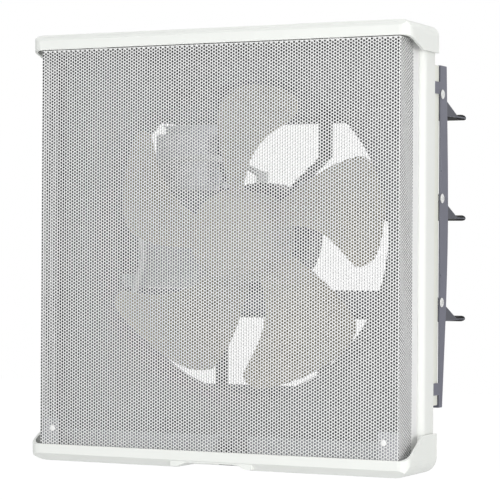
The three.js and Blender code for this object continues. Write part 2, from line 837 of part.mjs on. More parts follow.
// The slide runs in a channel on the case's side and lifts the link by its pin.
function actuatorSlide() {
  const y = leafPivotY - crankBack;
  const half = actuatorDepth / 2 - 2;
  const low = slidePin - slideHeight / 2;
  const plate = box(slideOuter(), slideOuter() + slideThickness, y - half, y + half, low, low + slideHeight);
  const grip = crankRadius - 0.2 + runGap;
  return plate.subtract(box(slideOuter() - 1, slideOuter() + slideThickness + 1, y - 4.6, y + 4.6,
    slidePin - grip, slidePin + grip));
}

function actuatorCase() {
  const y = leafPivotY - crankBack;
  const half = actuatorDepth / 2;
  const side = caseSide();
  const low = actuatorTop - actuatorHeight;
  const body = box(side, side + actuatorWidth, y - half, y + half, low, actuatorTop);
  const rail = (y0, y1) => box(slideOuter(), side + 1, y0, y1, low, actuatorTop);
  return union([body, rail(y - half, y - half + 1.6), rail(y + half - 1.6, y + half)]);
}

// A plate from the duct's side wall carries the actuator in front of the link.
function actuatorBracket() {
  const back = leafPivotY - crankBack - actuatorDepth / 2 - fitGap;
  const wall = -ductHalf + ductWall + fitGap;
  const low = actuatorTop - actuatorHeight;
  const plate = box(wall, caseSide() + actuatorWidth - 2, back - 1.5, back, low, low + 12);
  const foot = box(wall, wall + 1.5, back - 18, back, low, low + 12);
  return plate.add(foot);
}

// ---------------------------------------------------------------- motor

function lugs(y0, y1) {
  const hole = screwRadius + fitGap;
  const places = lugPlaces();
  const pads = places.map(([x, z]) => {
    const reach = Math.hypot(lugX, lugZ);
    const inner = (motorRadius - motorWall / 2) / reach;
    const across = [-z / reach, x / reach];
    const corner = (k, w) => [x * k + across[0] * w, z * k + across[1] * w];
    const pad = outline([
      corner(inner, -lugRadius),
      corner(1, -lugRadius),
      corner(1 + lugRadius / reach, 0),
      corner(1, lugRadius),
      corner(inner, lugRadius),
    ]);
    return prismY(pad, y0, y1);
  });
  return { pads, holes: places.map(([x, z]) => rodY(x, z, hole, y0 - 1, y1 + 1)) };
}

function lugPlaces() {
  return [[-lugX, lugZ], [lugX, lugZ], [-lugX, -lugZ], [lugX, -lugZ]];
}

function motorFrontShell() {
  const r = motorRadius;
  const seat = bearingRadius + fitGap;
  const cup = turned([
    [seat, motorFront],
    [r * 0.45, motorFront],
    [r - 2, motorFront + 4],
    [r, motorFront + 6],
    [r, motorSplit],
    [r - motorWall, motorSplit],
    [r - motorWall, motorFront + 7],
    [r * 0.45, motorFront + motorWall],
    [seat + 2, motorFront + motorWall],
    [seat + 2, motorFront + bearingLength],
    [seat, motorFront + bearingLength],
  ]);
  const { pads, holes } = lugs(motorSplit - lugThickness, motorSplit);
  const rim = turned([
    [r - motorWall, motorSplit - lugThickness],
    [r + 0.01, motorSplit - lugThickness],
    [r + 0.01, motorSplit],
    [r - motorWall, motorSplit],
  ]);
  return holes.reduce((shell, hole) => shell.subtract(hole), union([cup, rim, ...pads]));
}

function motorRearShell() {
  const r = motorRadius;
  const seat = bearingRadius + fitGap;
  const split = motorSplit + fitGap;
  const cup = turned([
    [0, motorBack],
    [r * 0.45, motorBack],
    [r - 2, motorBack - 4],
    [r, motorBack - 6],
    [r, split],
    [r - motorWall, split],
    [r - motorWall, motorBack - 7],
    [r * 0.45, motorRearSeat],
    [seat + 2, motorRearSeat],
    [seat + 2, motorRearSeat - bearingLength],
    [seat, motorRearSeat - bearingLength],
    [seat, motorRearSeat],
    [0, motorRearSeat],
  ]);
  const { pads, holes } = lugs(split, split + lugThickness);
  return holes.reduce((shell, hole) => shell.subtract(hole), union([cup, ...pads]));
}

function ring(inner, outer, y0, y1, segments = 24) {
  return turned([[inner, y0], [outer, y0], [outer, y1], [inner, y1]], segments);
}

function motorShaft() {
  return rodY(0, 0, shaftRadius, hubFront - spinnerNose + 6.5, motorRearSeat - 0.5, 24);
}

function rotor() {
  return ring(shaftRadius + fitGap, rotorRadius, stackFront, stackBack);
}

function statorCore() {
  return ring(rotorRadius + airGap, motorRadius - motorWall - fitGap, stackFront + 1, stackBack - 1);
}

// The windings' rear overhang, the only part of them that isn't buried in the core.
function statorWindings() {
  return ring(rotorRadius + 3, motorRadius * 0.78, stackBack - 1 + fitGap, stackBack + 2);
}

function bearing(y0, y1) {
  return ring(shaftRadius + fitGap, bearingRadius, y0, y1);
}

// Screws go in from the back, through an arm and both shells' lugs.
function motorScrew([x, z]) {
  const seat = armPadFront() + armSheet + fitGap;
  const shank = rodY(x, z, screwRadius, motorSplit - lugThickness - 1, seat + 1);
  return shank.add(rodY(x, z, screwHeadRadius, seat, seat + screwHead));
}

function armPadFront() {
  return motorSplit + 2 * fitGap + lugThickness;
}

function armFeet() {
  return [-1, 1].flatMap((sx) => [-1, 1].map((sz) => ({ x: sx * armX, y: armY - armFoot * 0.6, sz })));
}

// An arm: foot under the duct's wall, upright, a bend inwards, and a pad behind the motor's lug.
function motorArm(sx, sz) {
  const wall = sz > 0 ? ductTop - ductWall - fitGap : ductBottom + ductWall + fitGap;
  const padY = armPadFront() + armSheet / 2;
  const pad = [sx * lugX, padY, sz * (lugZ - 6)];
  const padEnd = [sx * lugX, padY, sz * (lugZ + 6)];
  const knee = [sx * armX, armY, sz * armBend];
  const head = [sx * armX, armY, wall];
  const foot = box(sx * armX - armWidth / 2, sx * armX + armWidth / 2, armY - armFoot, armY + armSheet / 2,
    Math.min(wall, wall - sz * armSheet), Math.max(wall, wall - sz * armSheet));
  const arm = union([
    strip(pad, padEnd, armWidth, armSheet),
    strip(padEnd, knee, armWidth, armSheet),
    strip(knee, head, armWidth, armSheet),
    foot,
  ]);
  return arm
    .subtract(rodY(sx * lugX, sz * lugZ, screwRadius + fitGap, padY - 3, padY + 3))
    .subtract(rodZ(sx * armX, armY - armFoot * 0.6, screwRadius - 0.3, wall - 4, wall + 4));
}

function armScrew({ x, y, sz }) {
  const outer = sz > 0 ? ductTop : ductBottom;
  const seat = outer - sz * (ductWall + fitGap + armSheet + fitGap);
  const tip = outer - sz * fitGap;
  const crown = seat - sz * screwHead;
  const shank = rodZ(x, y, screwRadius - 0.6, Math.min(seat - sz, tip), Math.max(seat - sz, tip));
  return shank.add(rodZ(x, y, screwHeadRadius, Math.min(seat, crown), Math.max(seat, crown)));
}

// ---------------------------------------------------------------- propeller

// Piecewise-linear interpolation of [radius, value] pairs.
function along(pairs, r) {
  const next = pairs.findIndex(([at]) => at >= r);
  if (next < 0) return pairs[pairs.length - 1][1];
  if (next === 0) return pairs[0][1];
  const [r0, v0] = pairs[next - 1];
  const [r1, v1] = pairs[next];
  return v0 + ((v1 - v0) * (r - r0)) / (r1 - r0);
}

// Angles of a blade's two edges from its leading tip, in degrees, against radius as a share of
// the blade's. The leading edge sweeps forward to a point at the tip.
const leadingEdge = [[0.28, 27], [0.48, 22], [0.64, 14.5], [0.8, 5.5], [0.92, 0.6], [1, 0]];
const trailingEdge = [[0.28, 64], [0.48, 59], [0.76, 53.5], [0.96, 48], [1, 45]];

function bladeEdgeRadius(s) {
  const nose = 1 - 0.1 * Math.max(0, 1 - s / 0.14) ** 2;
  const heel = 1 - 0.06 * Math.max(0, (s - 0.9) / 0.1) ** 2;
  return bladeRadius * nose * heel;
}

function bladePoint(t, s) {
  const root = hubRadius - hubWall / 2;
  const r = root + (bladeEdgeRadius(s) - root) * t;
  const share = r / bladeRadius;
  const lead = along(leadingEdge, share);
  const angle = rad(lead + (along(trailingEdge, share) - lead) * s);
  const out = (r - root) / (bladeRadius - root);
  const front = THREE.MathUtils.lerp(hubFront + 3, bladeFront, out);
  const back = THREE.MathUtils.lerp(bladeBack - 2, bladeBack, out);
  const curve = 4 * Math.sin(Math.PI * s) * out;
  return [r * Math.cos(angle), front + (back - front) * s + curve, r * Math.sin(angle)];
}

// A blade is one grid of points for its front face and one for its back face, joined at the edges.
function blade() {
  const rows = 7;
  const columns = 5;
  const positions = [];
  for (const offset of [-bladeThickness / 2, bladeThickness / 2]) {
    for (let i = 0; i <= rows; i += 1) {
      for (let j = 0; j <= columns; j += 1) {
        const [x, y, z] = bladePoint(i / rows, j / columns);
        positions.push(x, y + offset, z);
      }
    }
  }
  const at = (face, i, j) => face * (rows + 1) * (columns + 1) + i * (columns + 1) + j;
  const faces = [];
  const quad = (a, b, c, d) => faces.push(a, b, c, a, c, d);
  for (let i = 0; i < rows; i += 1) {
    for (let j = 0; j < columns; j += 1) {
      quad(at(0, i, j), at(0, i, j + 1), at(0, i + 1, j + 1), at(0, i + 1, j));
      quad(at(1, i, j), at(1, i + 1, j), at(1, i + 1, j + 1), at(1, i, j + 1));
    }
    quad(at(0, i, 0), at(0, i + 1, 0), at(1, i + 1, 0), at(1, i, 0));
    quad(at(0, i, columns), at(1, i, columns), at(1, i + 1, columns), at(0, i + 1, columns));
  }
  for (let j = 0; j < columns; j += 1) {
    quad(at(0, 0, j), at(1, 0, j), at(1, 0, j + 1), at(0, 0, j + 1));
    quad(at(0, rows, j), at(0, rows, j + 1), at(1, rows, j + 1), at(1, rows, j));
  }
  const geometry = new THREE.BufferGeometry();
  geometry.setAttribute('position', new THREE.Float32BufferAttribute(positions, 3));
  geometry.setIndex(faces);
  return geometry;
}

// The hub is a cup open at the back, with a boss that takes the shaft.
function propeller() {
  const bore = shaftRadius + fitGap;
  const boss = shaftRadius + 5;
  const hub = turned([
    [bore, hubFront],
    [hubRadius, hubFront],
    [hubRadius, bladeBack],
    [hubRadius - hubWall, bladeBack],
    [hubRadius - hubWall, hubFront + hubWall],
    [boss, hubFront + hubWall],
    [boss, bladeBack - 4],
    [bore, bladeBack - 4],
  ], 30);
  const blades = Array.from({ length: bladeCount }, (_, i) => {
    const turn = -rad(bladePhase + (360 / bladeCount) * i);
    return solid(blade().rotateY(turn));
  });
  const inside = rodY(0, 0, hubRadius - hubWall, hubFront + hubWall, bladeBack + 2, 30);
  return union([hub, ...blades.map((piece) => piece.subtract(inside))]);
}

// A shallow dome that screws on to the shaft's end and laps over the hub's rim.
function spinner() {
  const outer = hubRadius + spinnerLip;
  const inner = hubRadius + runGap;
  const nose = hubFront - spinnerNose;
  const seat = hubFront - fitGap;
  const bore = shaftRadius + fitGap;
  return turned([
    [0, nose],
    [outer * 0.6, nose + 1],
    [outer * 0.82, nose + 4],
    [outer * 0.94, nose + 9],
    [outer, nose + 16],
    [outer, hubFront + 1],
    [inner, hubFront + 1],
    [inner, seat],
    [inner - 2, seat],
    [inner - 2.6, nose + 12],
    [outer * 0.75, nose + 6],
    [bore + 5, nose + 4],
    [bore + 5, seat],
    [bore, seat],
    [bore, nose + 6],
    [0, nose + 6],
  ], 30);
}

// ---------------------------------------------------------------- electrical parts

function capacitorBody() {
  const right = -armX - armWidth / 2 - fitGap;
  const back = armY - armSheet / 2;
  const body = box(right - capacitorWidth, right, back - capacitorDepth, back,
    capacitorBottom, capacitorBottom + capacitorHeight);
  const middle = capacitorBottom + capacitorHeight / 2;
  const ear = box(right - 6, -armX + armWidth / 2, armY + armSheet / 2 + fitGap,
    armY + armSheet / 2 + fitGap + 2, Math.max(middle, armBend + 1), middle + 18);
  const neck = box(right - 6, right, back - 3, armY + armSheet / 2 + fitGap + 2,
    Math.max(middle, armBend + 1), middle + 18);
  return union([body, neck, ear]);
}

function glandPlace() {
  return { y: terminalFront + terminalDepth / 2, z: ductBottom + ductWall + fitGap + terminalHeight / 2 };
}

function terminalBox() {
  const left = -ductHalf + ductWall + fitGap;
  const low = ductBottom + ductWall + fitGap;
  return box(left, left + terminalWidth, terminalFront, terminalFront + terminalDepth, low,
    low + terminalHeight);
}

// The inlet for the supply cord, through the duct's side wall.
function cordGland() {
  const { y, z } = glandPlace();
  const wall = -ductHalf;
  const flange = rodX(y, z, glandRadius, wall - 4.3, wall - fitGap, 20);
  const shank = rodX(y, z, glandRadius - 3, wall - 1, wall + ductWall, 16);
  const bore = rodX(y, z, glandRadius - 5.5, wall - 5, wall + ductWall + 1, 12);
  return flange.add(shank).subtract(bore);
}

// The motor's leads in one sleeve, from a grommet on the motor to the terminal box.
function leadSleeve() {
  const low = ductBottom + ductWall + fitGap + terminalHeight + fitGap;
  const side = -ductHalf;
  const start = motorRadius + fitGap + 3;
  const path = new THREE.CatmullRomCurve3([
    [0, 31.5, start + 3],
    [-22, 28, start + 14],
    [-60, 26, capacitorBottom + 24],
    [-100, 28, capacitorBottom + 17],
    [side + 25.7, 36, capacitorBottom - 4],
    [side + 20.2, 42, 12],
    [side + 23.7, 42, -20],
    [side + 15.7, 42, -43],
    [side + 12.7, 38, low + 36.4],
    [side + 18.7, 35, low + 8],
    [side + 18.7, 35, low + 0.5],
  ].map((p) => new THREE.Vector3(...p)));
  const section = new THREE.Shape();
  section.absarc(0, 0, leadRadius, 0, Math.PI * 2);
  const tube = solid(new THREE.ExtrudeGeometry(section, {
    steps: 30,
    extrudePath: path,
    curveSegments: 3,
  }));
  const grommet = rodZ(0, 31.5, 5.5, motorRadius + fitGap, start + 6);
  return tube.add(grommet);
}

// ---------------------------------------------------------------- assembly

const words = { '-1': ['left', 'bottom'], 1: ['right', 'top'] };

add('orifice_panel', orificePanel(), white);
add('orifice_ring', orificeRing(), white);
add('duct_box', ductBox(), ivory);
add('top_trim', topTrim(), white);
for (const place of panelScrewPlaces()) {
  add(`panel_screw_${words[Math.sign(place[0])][0]}`, panelScrew(place), steel);
}
add('latch_strike', latchStrike(), steel);

add('perforated_cover', perforatedCover(), mesh);
add('bottom_trim', bottomTrim(), white);
add('bottom_rail', bottomRail(), steel);
for (const side of [-1, 1]) {
  add(`corner_bracket_${words[side][0]}`, cornerBracket(side), steel);
  add(`cover_rivet_${words[side][0]}`, coverRivet(side), nylon);
}
add('cover_latch', coverLatch(), dark);
add('latch_spring', latchSpring(), steel);

add('shutter_frame', shutterFrame(), slate);
leafPivots.forEach((z, i) => {
  add(`shutter_leaf_${i + 1}`, leaf(z), slate);
  add(`leaf_seal_${i + 1}`, leafSeal(z), black);
  add(`pivot_pin_left_${i + 1}`, pivotPin(-1, z), nylon);
  add(`pivot_pin_right_${i + 1}`, pivotPin(1, z), nylon);
});
add('shutter_link', shutterLink(), steel);
add('actuator_slide', actuatorSlide(), nylon);
add('actuator_case', actuatorCase(), grey);
add('actuator_bracket', actuatorBracket(), slate);

add('propeller', propeller(), beige);
add('spinner', spinner(), beige);
add('motor_shaft', motorShaft(), steel);
add('rotor', rotor(), steel);
add('stator_core', statorCore(), dark);
add('stator_windings', statorWindings(), copper);
add('front_bearing', bearing(motorFront - 1, motorFront + bearingLength), bronze);
add('rear_bearing', bearing(motorRearSeat - bearingLength, motorRearSeat - fitGap), bronze);
add('motor_front_shell', motorFrontShell(), dark);
add('motor_rear_shell', motorRearShell(), dark);
lugPlaces().forEach(([x, z]) => {
  const place = `${words[Math.sign(z)][1]}_${words[Math.sign(x)][0]}`;
  add(`motor_arm_${place}`, motorArm(Math.sign(x), Math.sign(z)), dark);
  add(`motor_screw_${place}`, motorScrew([x, z]), steel);
});
armFeet().forEach((foot) => {
  add(`arm_screw_${words[foot.sz][1]}_${words[Math.sign(foot.x)][0]}`, armScrew(foot), steel);
});

add('capacitor', capacitorBody(), grey);
add('terminal_box', terminalBox(), dark);
add('cord_gland', cordGland(), black);
add('lead_sleeve', leadSleeve(), nylon);

export default fan;
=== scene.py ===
# %% [markdown]
# # A window exhaust fan with a perforated cover
#
# The fan sits in a square opening in an outside wall. What the room sees is a box of perforated
# steel between two white plastic trims, with a beige propeller behind it. Outside the wall three
# sloping leaves close the opening when the fan stands still.
#
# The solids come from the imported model, in metres, with X to the right, Y from the room to the
# outside and Z up. This lesson gives them their finishes and replaces the ones whose real shape
# is finer than the solid: the perforated sheet, the moulded propeller and spinner, the bell
# mouth, the rolled edges of the panel and the shutter, the rubber lips and the fasteners.

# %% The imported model
import math

import bmesh
import bpy
from mathutils import Matrix, Vector


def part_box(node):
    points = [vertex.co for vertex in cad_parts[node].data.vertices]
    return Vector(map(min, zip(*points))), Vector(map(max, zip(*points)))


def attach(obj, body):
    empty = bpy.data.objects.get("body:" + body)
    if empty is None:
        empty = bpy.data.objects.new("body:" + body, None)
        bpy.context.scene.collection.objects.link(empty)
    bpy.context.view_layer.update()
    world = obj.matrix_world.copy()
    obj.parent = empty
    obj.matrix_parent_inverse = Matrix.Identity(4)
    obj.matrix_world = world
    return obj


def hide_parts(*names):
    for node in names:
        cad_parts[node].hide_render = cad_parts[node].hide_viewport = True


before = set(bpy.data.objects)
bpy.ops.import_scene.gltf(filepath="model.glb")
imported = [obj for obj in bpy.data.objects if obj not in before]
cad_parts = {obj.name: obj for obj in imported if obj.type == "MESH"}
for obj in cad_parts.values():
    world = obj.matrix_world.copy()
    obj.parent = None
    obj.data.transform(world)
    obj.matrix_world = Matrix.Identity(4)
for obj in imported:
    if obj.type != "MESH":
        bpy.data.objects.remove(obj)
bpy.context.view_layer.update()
mm = 0.001


# %% [markdown]
# ## The camera
#
# The camera stands to the right of the fan, at the height of its axis, 1.85 m away. A long lens
# keeps the box's edges nearly parallel. It is placed first, so that each piece can be judged in
# the picture as soon as it exists.

# %% Camera
CAMERA_PLACE = (0.8168, -1.6623, -0.0203)
CAMERA_HEADING, CAMERA_TILT, CAMERA_ROLL = 26.053, 90.286, 0.337  # degrees
camera_data = bpy.data.cameras.new("camera")
camera_data.lens = 155.7
camera_data.sensor_width = 36
camera = bpy.data.objects.new("camera", camera_data)
bpy.context.scene.collection.objects.link(camera)
camera.matrix_world = (
    Matrix.Translation(CAMERA_PLACE)
    @ Matrix.Rotation(math.radians(CAMERA_HEADING), 4, "Z")
    @ Matrix.Rotation(math.radians(CAMERA_TILT), 4, "X")
    @ Matrix.Rotation(math.radians(CAMERA_ROLL), 4, "Z")
)
bpy.context.scene.camera = camera
bpy.context.scene.view_settings.view_transform = "Standard"
print("camera looks along", [round(c, 3) for c in camera.matrix_world.col[2].xyz * -1])

# %% [markdown]
# ## Light
#
# White plastic shows its form only through small differences of light, so the light is soft and
# even: a pale world all round, one broad lamp in front, an equal one on the right that makes the
# side of the box brighter than its front, and two weak ones above and behind. The world gives a
# dim, slightly cool light, and is plain white where the camera or a reflection looks at it.

# %% World and lamps
WORLD_LIGHT = 0.46


def seen_directly(nodes, links):
    """1 for rays from the camera, and for those that metal or glass sends on."""
    path = nodes.new("ShaderNodeLightPath")
    first = nodes.new("ShaderNodeMath")
    first.operation = "MAXIMUM"
    links.new(path.outputs["Is Camera Ray"], first.inputs[0])
    links.new(path.outputs["Is Glossy Ray"], first.inputs[1])
    both = nodes.new("ShaderNodeMath")
    both.operation = "MAXIMUM"
    links.new(first.outputs[0], both.inputs[0])
    links.new(path.outputs["Is Transmission Ray"], both.inputs[1])
    return both.outputs[0]


world = bpy.data.worlds.new("studio")
bpy.context.scene.world = world
world.use_nodes = True
world_nodes, world_links = world.node_tree.nodes, world.node_tree.links
world_nodes.clear()
lighting = world_nodes.new("ShaderNodeBackground")
lighting.inputs["Color"].default_value = (0.965, 0.98, 1.0, 1)
lighting.inputs["Strength"].default_value = WORLD_LIGHT
backdrop = world_nodes.new("ShaderNodeBackground")
backdrop.inputs["Color"].default_value = (1, 1, 1, 1)
backdrop.inputs["Strength"].default_value = 1.0
either = world_nodes.new("ShaderNodeMixShader")
world_links.new(seen_directly(world_nodes, world_links), either.inputs[0])
world_links.new(lighting.outputs[0], either.inputs[1])
world_links.new(backdrop.outputs[0], either.inputs[2])
world_links.new(either.outputs[0], world_nodes.new("ShaderNodeOutputWorld").inputs[0])


def soft_lamp(name, place, aim, size, watts, colour=(1, 1, 1)):
    """A square lamp of that size in metres, turned to look at a point."""
    lamp = bpy.data.lights.new(name, "AREA")
    lamp.shape = "SQUARE"
    lamp.size = size
    lamp.energy = watts
    lamp.color = colour
    holder = bpy.data.objects.new(name, lamp)
    bpy.context.scene.collection.objects.link(holder)
    holder.location = place
    holder.rotation_euler = (Vector(aim) - Vector(place)).to_track_quat("-Z", "Y").to_euler()


soft_lamp("lamp_front", (0.4, -2.3, 0.3), (0.05, 0, 0), 1.1, 23)
soft_lamp("lamp_right", (2.4, -0.9, 0.1), (0.1, 0, 0), 1.1, 22, (1, 0.995, 0.98))
soft_lamp("lamp_above", (0.3, -0.5, 2.2), (0, -0.1, 0), 1.2, 9)
soft_lamp("lamp_back", (0.2, 2.4, 0.9), (0, 0.05, 0), 1.6, 5)

# %% [markdown]
# ## The floor
#
# The fan hangs in a wall, so the floor lies well below it. It is pale and keeps a soft shadow.
# Where the camera looks at it, most of its white is its own, like a lit photographer's table.

# %% Floor
FLOOR_HEIGHT = -0.46
bpy.ops.mesh.primitive_plane_add(size=9, location=(0, 0.6, FLOOR_HEIGHT))
floor = bpy.context.object
floor.name = "floor"
floor_finish = bpy.data.materials.new("pale_floor")
floor_finish.use_nodes = True
nodes, links = floor_finish.node_tree.nodes, floor_finish.node_tree.links
nodes.clear()
plain = nodes.new("ShaderNodeBsdfDiffuse")
plain.inputs["Color"].default_value = (0.8, 0.8, 0.8, 1)
shaded = nodes.new("ShaderNodeBsdfDiffuse")
shaded.inputs["Color"].default_value = (0.24, 0.24, 0.24, 1)
own_white = nodes.new("ShaderNodeEmission")
own_white.inputs["Strength"].default_value = 0.9
lit_table = nodes.new("ShaderNodeAddShader")
links.new(shaded.outputs[0], lit_table.inputs[0])
links.new(own_white.outputs[0], lit_table.inputs[1])
either = nodes.new("ShaderNodeMixShader")
links.new(seen_directly(nodes, links), either.inputs[0])
links.new(plain.outputs[0], either.inputs[1])
links.new(lit_table.outputs[0], either.inputs[2])
links.new(either.outputs[0], nodes.new("ShaderNodeOutputMaterial").inputs[0])
floor.data.materials.append(floor_finish)
print("floor at", FLOOR_HEIGHT, "m")

# %% [markdown]
# ## Effects that several finishes share
#
# A real surface is never one flat colour. Four effects come back in most finishes here, so each
# is a node group that is built once and placed with its own values:
#
# - *fine grain*: the faint spark-eroded texture of moulded plastic and the orange peel of paint,
# - *worn edge*: a mask along the edges, where paint and plastic polish lighter,
# - *settled dust*: a mask on faces that look up, broken up by noise,
# - *drawn streaks*: long vertical streaks, as rolled and painted sheet shows.

# %% A helper for building groups


def new_group(name, inputs, outputs):
    """A shader node group with float inputs {name: value} and the named float outputs."""
    group = bpy.data.node_groups.new(name, "ShaderNodeTree")
    for label, value in inputs.items():
        socket = group.interface.new_socket(label, in_out="INPUT", socket_type="NodeSocketFloat")
        socket.default_value = value
    for label in outputs:
        group.interface.new_socket(label, in_out="OUTPUT", socket_type="NodeSocketFloat")
    return group, group.nodes.new("NodeGroupInput"), group.nodes.new("NodeGroupOutput")


def math_node(group, operation, first, second=0.5, clamp=False):
    """A Math node whose two inputs are sockets or numbers; gives its output."""
    node = group.nodes.new("ShaderNodeMath")
    node.operation = operation
    node.use_clamp = clamp
    for slot, value in enumerate((first, second)):
        if isinstance(value, (int, float)):
            node.inputs[slot].default_value = value
        else:
            group.links.new(value, node.inputs[slot])
    return node.outputs[0]


def noise_node(group, scale, detail, stretch=(1, 1, 1)):
    """Noise over the object's own metres, so that the pattern moves with the piece."""
    where = group.nodes.new("ShaderNodeTexCoord")
    stretched = group.nodes.new("ShaderNodeMapping")
    stretched.inputs["Scale"].default_value = stretch
    group.links.new(where.outputs["Object"], stretched.inputs["Vector"])
    noise = group.nodes.new("ShaderNodeTexNoise")
    noise.inputs["Detail"].default_value = detail
    group.links.new(stretched.outputs[0], noise.inputs["Vector"])
    if isinstance(scale, (int, float)):
        noise.inputs["Scale"].default_value = scale
    else:
        group.links.new(scale, noise.inputs["Scale"])
    return noise.outputs["Fac"]


# %% Fine grain
fine_grain, given, result = new_group("fine_grain", {"Scale": 900.0}, ["Height", "Tone"])
grain_noise = noise_node(fine_grain, given.outputs["Scale"], 3)
slow_noise = noise_node(fine_grain, 14, 2)
fine_grain.links.new(grain_noise, result.inputs["Height"])
mottled = math_node(fine_grain, "MULTIPLY", grain_noise, 0.35)
fine_grain.links.new(
    math_node(fine_grain, "ADD", mottled, math_node(fine_grain, "MULTIPLY", slow_noise, 0.65)),
    result.inputs["Tone"],
)
print("group", fine_grain.name, [s.name for s in fine_grain.interface.items_tree])

# %% Worn edge
worn_edge, given, result = new_group("worn_edge", {"Radius": 0.0008, "Patches": 90.0}, ["Mask"])
rounded = worn_edge.nodes.new("ShaderNodeBevel")
rounded.samples = 4
worn_edge.links.new(given.outputs["Radius"], rounded.inputs["Radius"])
facing = worn_edge.nodes.new("ShaderNodeNewGeometry")
turn = worn_edge.nodes.new("ShaderNodeVectorMath")
turn.operation = "DOT_PRODUCT"
worn_edge.links.new(rounded.outputs[0], turn.inputs[0])
worn_edge.links.new(facing.outputs["True Normal"], turn.inputs[1])
edge = math_node(worn_edge, "SUBTRACT", 1.0, turn.outputs["Value"])
edge = math_node(worn_edge, "MULTIPLY", edge, 5.0, clamp=True)
patches = noise_node(worn_edge, given.outputs["Patches"], 4)
patches = math_node(worn_edge, "MULTIPLY", patches, 2.6)
patches = math_node(worn_edge, "SUBTRACT", patches, 0.7, clamp=True)
worn_edge.links.new(math_node(worn_edge, "MULTIPLY", edge, patches), result.inputs["Mask"])
print("group", worn_edge.name, "radius", worn_edge.interface.items_tree["Radius"].default_value)

# %% Settled dust
settled_dust, given, result = new_group("settled_dust", {"Scale": 60.0}, ["Mask"])
facing = settled_dust.nodes.new("ShaderNodeNewGeometry")
split = settled_dust.nodes.new("ShaderNodeSeparateXYZ")
settled_dust.links.new(facing.outputs["Normal"], split.inputs[0])
upward = math_node(settled_dust, "SUBTRACT", split.outputs["Z"], 0.2)
upward = math_node(settled_dust, "MULTIPLY", upward, 1.25, clamp=True)
clouds = noise_node(settled_dust, given.outputs["Scale"], 5)
settled_dust.links.new(math_node(settled_dust, "MULTIPLY", upward, clouds), result.inputs["Mask"])

# %% Drawn streaks
drawn_streaks, given, result = new_group("drawn_streaks", {"Scale": 40.0}, ["Tone"])
streak_noise = noise_node(drawn_streaks, given.outputs["Scale"], 4, stretch=(6, 6, 0.35))
drawn_streaks.links.new(streak_noise, result.inputs["Tone"])

# %% [markdown]
# ## One way to make a finish
#
# Every finish below starts from a Principled BSDF with its own colour, roughness and metalness.
# The groups then shift the colour a little: towards a second tone with the grain, towards a
# lighter one on the edges, and towards grey where dust lies. The bump stays very shallow.

# %% Finish builder
EDGE_RADIUS = 0.0008
ROUGHNESS_SWING = 0.08
DUST_COLOUR = (0.52, 0.51, 0.48)


def mix_colour(tree, factor, first, second):
    """A colour mix; first and second are colours or sockets."""
    node = tree.nodes.new("ShaderNodeMix")
    node.data_type = "RGBA"
    tree.links.new(factor, node.inputs["Factor"])
    for name, value in (("A", first), ("B", second)):
        socket = next(s for s in node.inputs if s.name == name and s.type == "RGBA")
        if isinstance(value, tuple):
            socket.default_value = (*value, 1)
        else:
            tree.links.new(value, socket)
    return next(s for s in node.outputs if s.type == "RGBA")


def place_group(tree, group, **values):
    node = tree.nodes.new("ShaderNodeGroup")
    node.node_tree = group
    for label, value in values.items():
        node.inputs[label].default_value = value
    return node


def finish(name, colour, roughness, second, metallic=0.0, grain=900.0, bump=0.06,
           edge=None, dust=0.25, streaks=0.0, gloss=0.5):
    """A material for one of the fan's surfaces. Colours are linear."""
    material = bpy.data.materials.new(name)
    material.use_nodes = True
    tree = material.node_tree
    shader = tree.nodes["Principled BSDF"]
    shader.inputs["Metallic"].default_value = metallic
    shader.inputs["Specular IOR Level"].default_value = gloss
    grains = place_group(tree, fine_grain, Scale=grain)
    tone = mix_colour(tree, grains.outputs["Tone"], colour, second)
    if streaks:
        lines = place_group(tree, drawn_streaks).outputs["Tone"]
        lines = math_node(tree, "MULTIPLY", lines, streaks)
        tone = mix_colour(tree, lines, tone, tuple(min(1.0, c * 1.6) for c in colour))
    if edge:
        worn = place_group(tree, worn_edge, Radius=EDGE_RADIUS)
        tone = mix_colour(tree, worn.outputs["Mask"], tone, edge)
    if dust:
        fallen = math_node(tree, "MULTIPLY", place_group(tree, settled_dust).outputs["Mask"], dust)
        tone = mix_colour(tree, fallen, tone, DUST_COLOUR)
    tree.links.new(tone, shader.inputs["Base Color"])
    swing = math_node(tree, "MULTIPLY", grains.outputs["Tone"], ROUGHNESS_SWING * 2)
    rough = math_node(tree, "ADD", swing, roughness - ROUGHNESS_SWING, clamp=True)
    tree.links.new(rough, shader.inputs["Roughness"])
    height = tree.nodes.new("ShaderNodeBump")
    height.inputs["Strength"].default_value = bump
    height.inputs["Distance"].default_value = 0.0002
    tree.links.new(grains.outputs["Height"], height.inputs["Height"])
    tree.links.new(height.outputs[0], shader.inputs["Normal"])
    return material


# %% [markdown]
# ## The finishes
#
# The trims and the panel are white ABS with a hint of green and a soft gloss. The perforated
# sheet is enamelled steel, a light grey with a trace of lilac. The propeller is beige
# polypropylene. Behind the wall the shutter is painted a bluish slate grey, with white nylon
# pivots and black rubber lips.

